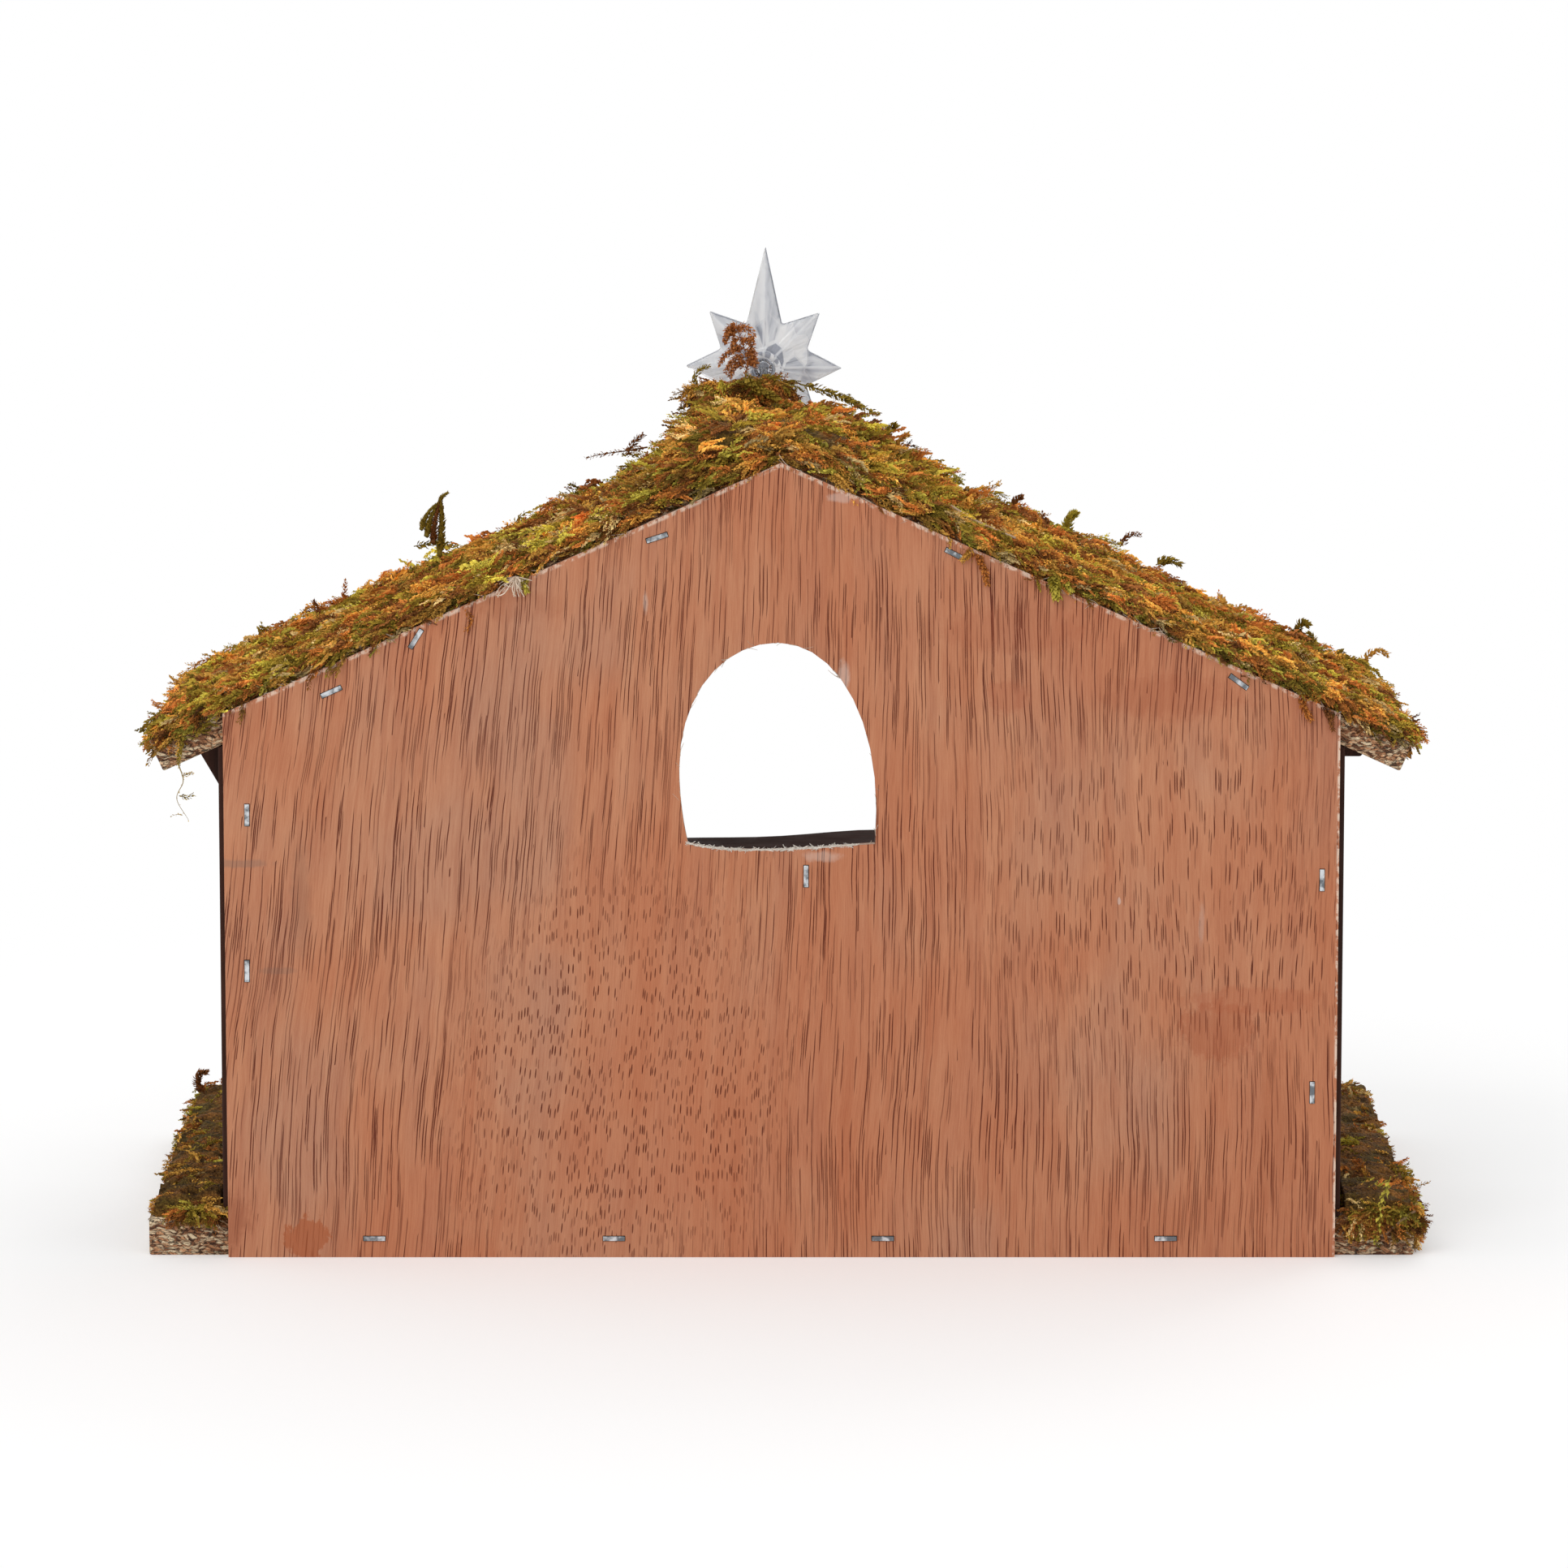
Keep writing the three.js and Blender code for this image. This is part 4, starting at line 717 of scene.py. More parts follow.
def modify(node, kind, **settings):
    made = node.modifiers.new(kind.lower(), kind)
    for key, value in settings.items():
        setattr(made, key, value)


def dress_nodes():
    """Gives each CAD piece its material and rounds its edges."""
    for part in frame["record"]["subparts"]:
        node = frame["nodes"][part["node"]]
        slot = part["material_slot"]
        for place in node.material_slots:
            place.material = NODE_LOOKS.get(part["node"], LOOKS[slot])
        if part["node"] in SKINS:
            voxel, rounds = SKINS[part["node"]]
            modify(node, "REMESH", mode="VOXEL", voxel_size=voxel * MM, use_smooth_shade=True)
            modify(node, "SMOOTH", factor=0.5, iterations=rounds)
        elif slot in EDGES:
            modify(node, "WELD", merge_threshold=0.01 * MM)
            sharp = {"limit_method": "ANGLE", "angle_limit": math.radians(28)}
            modify(node, "BEVEL", width=EDGES[slot] * MM, segments=3, **sharp)


# Moss. A shoot is a curved stem with leaves all round it; a bed is covered with turned and
# scaled copies of a few shoots in clumps of one colour and direction, over a rough mat.
# Each colour comes with its share of the shoots.
MOSS_PALETTE = {
    "ochre": (rgb(228, 174, 80), 0.26),
    "orange": (rgb(208, 132, 62), 0.22),
    "olive": (rgb(168, 142, 52), 0.2),
    "lime": (rgb(206, 190, 78), 0.13),
    "brown": (rgb(150, 94, 48), 0.13),
    "pale": (rgb(230, 200, 136), 0.06),
}
LEAF_SPREAD = (0.4, 1.1)
SPRIG_SPREAD = (0.7, 1.6)
FERN_SPREAD = (1.0, 2.2)
LEAF_HALF_WIDTH = 0.25
GOLDEN_TURN = 2.4
CLUMP = 4


def part_way(line, share):
    """Points at shares of the way along a line of points, and the line's step there."""
    at = share * (len(line) - 1)
    low = np.minimum(np.asarray(at).astype(int), len(line) - 2)
    step = line[low + 1] - line[low]
    return line[low] + step * (at - low)[..., None], step


def leafy(spine, leaves, leaf_size, seed, stem_radius, flat=False, slim=0.4, spread=LEAF_SPREAD):
    """A shoot along spine (n, 3), with leaves all round or flat at both sides, shorter by the
    share slim at its tip. Returns points, triangles and each point's lightness, with painted
    shade on the stem and the leaf roots and a painted highlight at the leaf tips."""
    rng = rng_of(seed)
    spine = np.asarray(spine, float)
    stem, stem_faces = tube(spine, stem_radius * np.linspace(1.1, 0.3, len(spine)), 3)
    share = np.linspace(0.04, 0.999, leaves)
    root, along = part_way(spine, share)
    along = unit(along)
    side = unit(np.cross(along, [0.11, 0.17, 1.0]))
    step_turn, loose = (np.pi, 0.4) if flat else (GOLDEN_TURN, 0.5)
    turn = np.arange(leaves) * step_turn + rng.uniform(-loose, loose, leaves)
    out = side * np.cos(turn)[:, None] + np.cross(side, along) * np.sin(turn)[:, None]
    reach = unit(along + out * rng.uniform(*spread, leaves)[:, None])
    size = (rng.uniform(*leaf_size, leaves) * (1.05 - slim * share))[:, None]
    across = unit(np.cross(reach, out)) * size * LEAF_HALF_WIDTH
    belly = root + reach * size * 0.45 + out * size * 0.1
    tip = root + reach * size - out * size * 0.12
    leaf = np.stack([root, belly - across, tip, belly + across], axis=1).reshape(-1, 3)
    corner = np.arange(leaves)[:, None] * 4 + len(stem)
    faces = np.vstack([stem_faces, corner + [0, 1, 2], corner + [0, 2, 3]])
    shade = np.repeat(rng.uniform(0.8, 1.18, leaves), 4)
    # Painted shade on the stem and at the roots of the leaves, painted highlight at their tips
    light = np.concatenate([np.full(len(stem), 0.6), np.tile([0.6, 1.0, 1.35, 1.0], leaves) * shade])
    return np.vstack([stem, leaf]), faces, light


def curved(seed, rings=4):
    """The spine of a shoot of length 1 along +X."""
    rng = rng_of(seed)
    bend, wave, phase = rng.uniform(-0.7, 0.7), rng.uniform(0.03, 0.1), rng.uniform(0, 6.28)
    turn = np.linspace(0, bend, rings) + wave * 6 * np.sin(np.linspace(0, 7, rings) + phase)
    rise = 0.25 * np.cos(np.linspace(0, 3.1, rings)) + wave * 3 * np.sin(np.linspace(0, 6, rings) - phase)
    step = columns(np.cos(turn) * np.cos(rise), np.sin(turn) * np.cos(rise), np.sin(rise))
    return np.vstack([[0, 0, 0], np.cumsum(step[1:], axis=0) / (rings - 1)])


def frond(seed, branches=6):
    """A flat shoot with short side shoots, left and right in turn."""
    rng = rng_of(seed)
    spine = curved(seed)
    parts = [leafy(spine, 10, (0.13, 0.22), seed, 0.018)]
    for i in range(branches):
        share = 0.12 + 0.72 * i / (branches - 1)
        root, _ = part_way(spine, share)
        reach = rng.uniform(0.2, 0.34) * (1.1 - 0.5 * share)
        way = np.array([0.75, 0.7 if i % 2 else -0.7, rng.uniform(-0.15, 0.3)]) * reach
        twig = [root, root + way + [0.05, 0, 0.04]]
        parts.append(leafy(twig, 6, (0.12, 0.18), seed + i, 0.014))
    return joined(parts)


SHOOTS = [leafy(curved(seed), 20, (0.2, 0.32), seed, 0.02, flat=True) for seed in range(9)]
SHOOTS += [leafy(curved(seed), 20, (0.16, 0.26), seed, 0.02) for seed in range(9, 13)]
SHOOTS += [frond(seed) for seed in range(20, 23)]


def grow(name, node, rng, roots, forward, length, colours, plan=None):
    """An object of copies of the shoots at roots (n, 3), each along its forward direction."""
    kind = rng.integers(0, len(SHOOTS), len(roots))
    roll = rng.uniform(-0.9, 0.9, len(roots))[:, None]
    level = unit(np.cross([0, 0, 1.0], forward))
    across = level * np.cos(roll) + np.cross(forward, level) * np.sin(roll)
    basis = np.stack([forward, across, np.cross(forward, across)], axis=1) * length[:, None, None]
    parts = []
    for k, (shape, faces, light) in enumerate(SHOOTS):
        chosen = kind == k
        points = np.einsum("pk,nkc->npc", shape, basis[chosen]) + roots[chosen][:, None]
        offset = np.arange(chosen.sum())[:, None, None] * len(shape)
        tints = colours[chosen][:, None] * light[:, None]
        parts.append((points.reshape(-1, 3), (faces + offset).reshape(-1, 3), tints.reshape(-1, 3)))
    points, faces, tints = joined(parts)
    points[:, 2] = np.maximum(points[:, 2], 0.1 * MM)
    mesh_object(name, points, faces, tints, LOOKS["moss"], "moss", node, plan)


def moss_colours(rng, roots, darker):
    """A colour for each root: patches of a few millimetres, with stray clumps among them."""
    colours = np.array([c[:3] for c, _ in MOSS_PALETTE.values()])
    shares = np.cumsum([share for _, share in MOSS_PALETTE.values()])
    patch = noise(roots, 7, 3) * 0.6 + noise(roots, 18, 4) * 0.4
    rank = patch.argsort().argsort() / max(1, len(roots) - 1)
    level = (rank * 3.0) % 1.0
    stray = rng.random(len(roots)) < 0.45
    level[stray] = rng.random(stray.sum())
    chosen = colours[np.minimum(np.searchsorted(shares, level), len(colours) - 1)]
    return chosen * (rng.uniform(0.75, 1.25, len(roots)) * (1 - darker))[:, None]


def clumped(rng, count, centres, heading, darker, spread=1.5):
    """Shares count shoots among clumps that lie at the centres, some raised and some sunk.
    Returns each shoot's root, heading and colour, with painted light on the raised clumps and
    painted shade on the sunk ones."""
    clumps = count // CLUMP
    centres, heading = centres[:clumps], heading[:clumps]
    # Each clump lies higher or lower, with painted light on the high ones and painted shade on the low ones
    raised = rng.beta(1.3, 1.1, clumps)
    colours = moss_colours(rng, centres, darker) * (0.34 + 1.3 * raised)[:, None]
    centres = centres + [0, 0, MM] * (raised[:, None] - 0.6) * 3.2
    clump = rng.integers(0, clumps, count)
    stray = rng.normal(0, spread * MM, (count, 3)) * [1, 1, 0.3]
    turned = unit(heading[clump] + rng.normal(0, 0.17, (count, 3)))
    shade = rng.uniform(0.82, 1.16, (count, 1))
    return centres[clump] + stray, turned, colours[clump] * shade


def bed_of(node):
    """Finds the top of a CAD node's solid under a point seen from above."""
    mesh = frame["nodes"][node].data
    tree = BVHTree.FromPolygons([v.co for v in mesh.vertices], [p.vertices for p in mesh.polygons])

    def top(x, y):
        hit = tree.ray_cast(Vector((x, y, 1.0)), Vector((0, 0, -1)))
        return hit[0].z if hit[0] is not None else None

    return top


def mat_surface(node, step, sink, seed, skirt=5):
    """A rough skin a little under the node's top, with a skirt all round, in millimetres."""
    low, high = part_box(node)
    top = bed_of(node)
    inset = 0.3 * MM
    xs = np.arange(low.x + inset, high.x, step * MM)
    ys = np.arange(low.y + inset, high.y, step * MM)
    grid = np.array([(x, y, top(x, y) or low.z) for y in ys for x in xs])
    rough = noise(grid, 3.2, seed) * 2.4 * MM + noise(grid, 1.3, seed + 1) * 1.2 * MM
    grid[:, 2] += rough - sink * MM
    grid = np.pad(grid.reshape(len(ys), len(xs), 3), ((1, 1), (1, 1), (0, 0)), "edge")
    rim = np.ones(grid.shape[:2], bool)
    rim[1:-1, 1:-1] = False
    grid[rim, 2] -= skirt * MM
    count = len(xs) + 2
    a = (np.arange(len(ys) + 1)[:, None] * count + np.arange(count - 1)).ravel()
    return grid.reshape(-1, 3), np.stack([a, a + 1, a + count + 1, a + count], axis=1)


def moss_bed(name, node, count, seed, slope, lift, darker, sink, length):
    """Covers one moss node. slope is the way down its roof along X, 0 on the level base."""
    rng = rng_of(seed)
    low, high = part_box(node)
    top = bed_of(node)
    least, most = (np.array(low) + 0.8 * MM)[:2], (np.array(high) - 0.8 * MM)[:2]
    clumps = count // CLUMP + 1
    x = rng.uniform(least[0], most[0], clumps)
    y = rng.uniform(least[1], most[1], clumps)
    centres = columns(x, y, 0.0)
    yaw = noise(centres, 16, seed) * 4 * np.pi + rng.normal(0, 0.5, clumps)
    if slope:
        along = np.where(rng.random(clumps) < 0.75, 0.0, np.pi) + (0.0 if slope > 0 else np.pi)
        lying = rng.random(clumps) < 0.7
        yaw[lying] = (along + rng.normal(0, 0.5, clumps))[lying]
    fall = -math.tan(PITCH) * np.cos(yaw) * slope
    heading = unit(columns(np.cos(yaw), np.sin(yaw), fall + np.tan(rng.uniform(*lift, clumps))))
    roots, heading, colours = clumped(rng, count, centres, heading, darker)
    roots[:, :2] = np.clip(roots[:, :2], least, most)
    lumps = (noise(roots * [1, 1, 0], 8, seed + 9) - 0.55) * 2.6 * MM
    level = np.array([top(a, b) or low.z for a, b in roots[:, :2]])
    roots[:, 2] += level + lumps - (sink + rng.uniform(0, 1.8, count)) * MM
    size = rng.uniform(*length, count) * MM
    # Shoots at the rim turn inwards where they would leave it by more than a little
    spare = 1.6 * MM
    for axis in (0, 1):
        reach = roots[:, axis] + heading[:, axis] * size
        outside = (reach < low[axis] - spare) | (reach > high[axis] + spare)
        heading[outside, axis] *= -1
    grow(name, node, rng, roots, heading, size, colours, (low, high))


def moss_mat(name, node, seed, sink, darker):
    grid, faces = mat_surface(node, 1.1, sink, seed)
    brown, olive, ochre = (
        np.array(tone[:3]) * (1 - darker) for tone in (rgb(130, 88, 40), rgb(116, 98, 42), rgb(178, 120, 58))
    )
    share = noise(grid, 6, seed + 2)[:, None]
    golden = np.clip(noise(grid, 5, seed + 4) * 4 - 1.8, 0, 1)[:, None]
    shade = (0.7 + 0.6 * noise(grid, 1.5, seed + 3))[:, None]
    ground = (brown * share + olive * (1 - share)) * (1 - golden) + ochre * golden
    mesh_object(name, grid, faces, ground * shade, MOSS_GROUND, "moss", node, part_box(node))


def roof_top(x):
    return ROOF_HIGH.z - np.abs(x) * math.tan(PITCH)


def moss_fringe(name, node, side, seed, count=3200):
    """Shoots over the roof's rear edge: they hide the board's edge, hang over the panel's top
    and, beyond the panel, over the board's back."""
    rng = rng_of(seed)
    clumps = count // CLUMP + 1
    x = rng.uniform(0, ROOF_HIGH.x - 2.5 * MM, clumps)
    beyond = x > PANEL_HIGH.x + 1 * MM
    behind = rng.random(clumps) < (0.3 if side > 0 else 0.16)
    rear, panel_rear = ROOF_HIGH.y, PANEL_HIGH.y - 0.2 * MM
    y = rng.uniform(rear - 2 * MM, panel_rear, clumps)
    y[beyond] = rear - rng.uniform(-0.4, 2.5, beyond.sum()) * MM
    bed, mound = bed_of(node), bed_of("ridge_moss")
    inner = rear - 2.5 * MM
    over = np.array([(bed(a * side, inner) or mound(a * side, inner) or 0) for a in x])
    over = np.maximum(over - roof_top(x), 1 * MM) + 0.8 * MM
    z = roof_top(x) + 0.4 * MM + rng.random(clumps) * (over - 0.4 * MM)
    high_up = z > roof_top(x) + 2.6 * MM
    y[high_up] = rear - rng.uniform(0, 3, high_up.sum()) * MM
    low_down = beyond & behind
    ragged = 0.4 + (4.4 if side > 0 else 2.4) * noise(columns(x, 0.0, 0.0), 5, seed)
    z[low_down] = (roof_top(x) - rng.uniform(0, 1, clumps) * ragged * MM)[low_down]
    y[low_down] = rear + 0.4 * MM
    way = np.where(rng.random(clumps) < 0.7, 1.0, -1.0) * side
    heading = columns(
        way * math.cos(PITCH) + rng.normal(0, 0.2, clumps),
        rng.uniform(-0.15, 0.25, clumps),
        -side * way * math.sin(PITCH) - rng.uniform(-0.15, 0.2, clumps),
    )
    heading[low_down, 1] = 0.12
    centres = columns(x * side, y, z)
    roots, heading, colours = clumped(rng, count, centres, unit(heading), 0.0, spread=0.7)
    roots[:, 1] = np.minimum(roots[:, 1], panel_rear)
    grow(name, node, rng, roots, heading, rng.uniform(4, 8, count) * MM, colours)


def drape(name, node, start, end, outward, drop, count):
    """Shoots along a board's top edge from start to end in millimetres, hanging over it."""
    rng = rng_of(140)
    clumps = count // CLUMP + 1
    start, end = np.array(start, float) * MM, np.array(end, float) * MM
    outward = np.array([*outward, 0.0])
    centres = start + (end - start) * rng.random(clumps)[:, None]
    hang = rng.random(clumps) ** 1.5 * drop * (0.3 + 0.9 * noise(centres, 9, 140))
    rise = rng.uniform(-0.5, 2.2, clumps)
    below = rng.random(clumps) < 0.6
    centres[:, 2] += np.where(below, -hang, rise) * MM
    centres += outward * np.where(below, 0.3, rng.uniform(-3, 0.3, clumps))[:, None] * MM
    run = unit(end - start) * rng.normal(0, 0.8, clumps)[:, None]
    steep = min(1, 0.15 + abs(drop) / 3)
    fall = np.where(below, rng.uniform(0.2, 1.0, clumps) * steep, rng.uniform(-0.2, 0.3, clumps))
    heading = unit(run + outward * rng.uniform(0.0, 0.35, clumps)[:, None] - [0, 0, 1] * fall[:, None])
    roots, heading, colours = clumped(rng, count, centres, heading, 0.12, spread=0.6)
    grow(name, node, rng, roots, heading, rng.uniform(3.5, 7, count) * MM, colours)


# Sprigs that stand or hang by themselves: y, places along x and z, leaves, leaf size and stem
# radius, all in millimetres, colour, share by which leaves shrink to the tip
SPRIGS = [
    ((2, 3, 3, 2), [(10.4, 229.2), (7.4, 227), (3.8, 225), (1.4, 223.4)], 112, 2.4, 0.39, "olive", 0.2),
    (-5, [(24.4, 224), (24, 228.5), (22.2, 231), (20, 231.8)], 62, 2.1, 0.14, "olive", 0.5),
    (20, [(93.4, 182), (93.2, 187), (92.9, 192), (93.2, 196), (93, 198), (91.2, 199.4)],
     300, 2.3, 0.9, "olive", 0.7),
    ((20.6, 20.6, 20.4, 20), [(95.2, 185.6), (95, 189.6), (94.2, 193.8), (93.5, 197)],
     220, 2.1, 0.9, "brown", 0.7),
    ((20.2, 20.2, 20, 20), [(96.9, 187.4), (96.5, 190.6), (95.2, 194), (93.9, 196.6)],
     220, 2, 0.9, "olive", 0.7),
    (20, [(98.4, 189.2), (97.9, 191.6), (96.4, 194.2), (94.6, 196.2)], 180, 1.8, 0.7, "olive", 0.7),
    (20, [(100.6, 184.6), (96.2, 185.4), (92.8, 185.6), (88.6, 184.6)], 62, 2.2, 0.17, "olive", 0.4),
    (0, [(122, 163), (121.2, 168), (120.6, 172.6)], 55, 2.4, 0.14, "orange", 0.6),
    (0, [(127, 161), (128.6, 165.4), (129.6, 167.2)], 38, 2, 0.12, "brown", 0.5),
    (2, [(37, 210), (43, 209), (49, 208.2), (54, 207)], 38, 2, 0.28, "brown", 0.5),
    (0, [(42.6, 207.6), (40.4, 211.4), (38.2, 213.4)], 45, 2.2, 0.25, "brown", 0.4),
    ((-3, -2, -2, -2, -2), [(-5, 227), (-12, 225.2), (-16.3, 223.6), (-19.9, 221.8), (-26.4, 218.8)],
     112, 2.4, 0.25, "olive", 0.3),
    (-5, [(-17.2, 224), (-19.9, 222), (-22, 220.6)], 62, 2.2, 0.22, "olive", 0.3),
    (-10, [(-28, 211), (-30, 214), (-31.6, 215)], 50, 2.6, 0.2, "olive", 0.4),
    (-10, [(-32, 209), (-33.6, 211.6), (-35, 212.4)], 40, 2.4, 0.2, "ochre", 0.4),
    (-10, [(-64.6, 189), (-64.8, 193.6), (-66.6, 195)], 62, 2.4, 0.19, "brown", 0.4),
    (-10, [(-78.6, 184), (-79.8, 188.6), (-81.6, 190.6)], 75, 3.1, 0.22, "lime", 0.4),
    (-10, [(-94, 181), (-96.6, 184.4), (-99.6, 184.4)], 42, 2.2, 0.14, "brown", 0.5),
    (-10, [(-104, 176), (-107.2, 177.4), (-110.8, 176.2)], 62, 2.7, 0.19, "olive", 0.4),
    (-10, [(-141.6, 151), (-142.4, 156), (-144.6, 159.6), (-146.4, 159.4)], 100, 2.9, 0.28, "olive", 0.4),
    (-10, [(-144, 151), (-147.6, 154.4), (-146.8, 156.8)], 62, 2.5, 0.19, "olive", 0.4),
    (-10, [(-161, 147), (-163.4, 150.8), (-166.6, 152), (-168.6, 151)], 50, 2.5, 0.17, "ochre", 0.4),
    ((84, 86, 86.4), [(-72.6, 184.6), (-72.4, 182), (-72.8, 178.6)], 75, 3.2, 0.22, "lime", 0.3),
    ((84, 86, 86), [(-74, 184), (-75.4, 182.4), (-76.4, 180.4)], 50, 2.8, 0.22, "lime", 0.3),
    ((84, 86.2, 86.4, 86.2), [(-51, 191), (-52.6, 188), (-54, 184.6), (-54.4, 182)],
     75, 2.4, 0.19, "orange", 0.4),
    ((84, 86, 86), [(-50.4, 192), (-49.4, 190), (-47.8, 188.4)], 50, 2.1, 0.17, "ochre", 0.4),
    ((84, 86, 86), [(68.6, 185.4), (68, 182.4), (67.4, 180)], 50, 2.4, 0.17, "lime", 0.4),
    ((84, 86, 86.2), [(84, 176.6), (82.4, 172.4), (83.6, 169.6)], 30, 1.8, 0.14, "orange", 0.4),
    ((84, 86.4, 86.4), [(-138, 153), (-138.8, 149), (-140.4, 146)], 62, 2.5, 0.17, "orange", 0.4),
    ((84, 86.2, 86), [(-143.6, 150), (-145.2, 147.4), (-146.4, 143)], 62, 2.2, 0.22, "brown", 0.4),
    ((83.6, 84.2, 84), [(159.4, 142), (160, 137.6), (160.4, 133.6)], 46, 2.2, 0.16, "olive", 0.5),
    ((83.8, 83.6, 83.4, 83.4), [(160.4, 133.6), (159.2, 129), (161, 124.2), (158, 118.6)],
     9, 1, 0.2, "pale", 0.3),
    (83.4, [(159.6, 130.4), (158, 130.8), (156.8, 131.2)], 14, 1.3, 0.14, "pale", 0.3),
    (83.4, [(160.4, 125), (158.4, 124.6), (156.6, 125.2)], 16, 1.5, 0.14, "olive", 0.3),
    (83.4, [(159.6, 119.8), (161, 120), (162.4, 119.6)], 5, 1, 0.12, "pale", 0.3),
    (-60, [(166, 17), (168, 20), (167.4, 23), (165.4, 23.4)], 88, 2.5, 0.22, "brown", 0.4),
    ((84.4, 85, 84.4, 84), [(-163.4, 22), (-161, 15), (-160.4, 8), (-159, 4)], 40, 2.6, 0.16, "lime", 0.4),
    (84.4, [(-160.6, 12), (-164, 9.4), (-167.4, 8.4)], 22, 2.2, 0.13, "olive", 0.4),
    ((84.4, 84.6, 84.6), [(-160.4, 8), (-156, 5), (-152.6, 5.6)], 20, 2, 0.13, "olive", 0.4),
]
# The brown fern before the star: its stem and its curled side shoots, x and z in millimetres
FERN_Y = -5
FERN_TONE = rgb(204, 132, 74)
FERN_STEM = [(10.6, 226), (9.6, 230.6), (9.2, 233), (10.3, 236.8), (11.4, 239.7), (12.1, 242.2)]
FERN_CURLS = [
    [(12.1, 242.2), (10.8, 243.1), (8.8, 242.4), (7.6, 240.4), (8.2, 239.4)],
    [(12.1, 242.2), (13.5, 243.1), (14.6, 242.4), (14.4, 241.3)],
    [(11.8, 241), (13.8, 241.6), (15.2, 240.4), (14.8, 239.2)],
    [(11, 238.6), (9.7, 239.7), (8.1, 238.8), (8.1, 236.6), (9, 236)],
    [(11.4, 239.7), (13, 239.1), (13, 237.3), (11.7, 237.3)],
    [(10.3, 236.8), (13.2, 236.6), (15.7, 234.8), (16.6, 233)],
    [(9.9, 234.3), (12.3, 234.3), (14.1, 232.8), (15, 231)],
    [(9.5, 232.4), (11.6, 232.8), (13.4, 231.2), (13.8, 229.6)],
    [(9.7, 235.2), (8.3, 236.1), (7.4, 235), (7.9, 234)],
    [(9.3, 233), (7.8, 234), (6.8, 232.6)],
]
# Where a bunch of torn fibres hangs out of the panel's top, in millimetres
TORN_FIBRES = (70.4, 84.8, 184)
TORN_COUNT = 28
# Single fibres: y, places along x and z, radius, all in millimetres, and colour
FIBRES = [
    ((68, 68, 68, 68, 69, 69),
     [(13.6, 218.8), (13.2, 221.2), (11.8, 222.6), (10.6, 220.8), (10.4, 218), (11.6, 215.4)],
     0.24, rgb(226, 224, 220)),
    (60, [(-1, 213), (-4, 215.2), (-10, 215.8), (-17, 214)], 0.3, rgb(196, 178, 122)),
    ((78, 80, 81, 81), [(-45, 202), (-52, 198), (-58, 195.4), (-62, 193.8)], 0.35, rgb(206, 178, 150)),
    ((80, 82.6, 83), [(-154, 150), (-158, 146.6), (-162.4, 143.8)], 0.3, rgb(178, 160, 130)),
    ((84, 84.4, 84), [(-162, 6), (-167, 10.4), (-170, 12.4)], 0.4, rgb(150, 120, 92)),
]
# Edges with moss hanging over them, from and to in millimetres, outwards, drop, shoots
EAVE_X = ROOF_HIGH.x / MM - 3.2
EAVE_Z = roof_top(ROOF_HIGH.x) / MM + 0.4
DRAPES = [
    ("moss_eave_left", "roof_moss_left", (EAVE_X, -21, EAVE_Z), (EAVE_X, 82, EAVE_Z), (1, 0), 1.0, 800),
    ("moss_eave_right", "roof_moss_right", (-EAVE_X, -21, EAVE_Z), (-EAVE_X, 74, EAVE_Z), (-1, 0), 0.8, 750),
    ("moss_back_left", "base_moss_left", (152, 81.4, 12), (163, 81.4, 12), (0, 1), 0.3, 180),
    ("moss_end_left", "base_moss_left", (167, -84, 11.6), (167, 10, 11.6), (1, 0), 0.3, 300),
    ("moss_back_right", "base_moss_right", (-152, 82, 10.6), (-169, 82, 10.6), (0, 1), 2.5, 260),
    ("moss_end_right", "base_moss_right", (-170, 30, 10.6), (-170, 82, 10.6), (-1, 0), 8, 600),
    ("moss_end_front", "base_moss_front", (-168, -84.4, 10.8), (168, -84.4, 10.8), (0, -1), 2.2, 1500),
    ("moss_heap_left", "ridge_moss", (9, -4, 225), (23.5, -4, 223.6), (0, 1), -5, 520),
    ("moss_heap_middle", "ridge_moss", (-1, -3, 226), (10, -3, 225.4), (0, 1), -2.6, 260),
]
# How deep the mats lie under the tops of the solids, in millimetres
BASE_MAT_SINK = 2.2
ROOF_MAT_SINK = 4.2
# Name, node, shoots, slope, lift, how much darker, sink and shoot length in millimetres
MOSS_BEDS = [
    ("moss_roof_left", "roof_moss_left", 5000, 1, (-0.25, 0.12), 0.0, 1.2, (4.5, 9)),
    ("moss_roof_right", "roof_moss_right", 5000, -1, (-0.25, 0.12), 0.0, 1.2, (4.5, 9)),
    ("moss_base_left", "base_moss_left", 3400, 0, (-0.15, 0.2), 0.18, 2.0, (3.5, 6.5)),
    ("moss_base_right", "base_moss_right", 3400, 0, (-0.15, 0.25), 0.1, 2.2, (3.5, 6.5)),
    ("moss_base_front", "base_moss_front", 4600, 0, (-0.15, 0.25), 0.05, 1.8, (4, 8)),
    ("moss_ridge", "ridge_moss", 4700, 0, (-0.25, 0.15), 0.0, 1.4, (4, 8.5)),
]


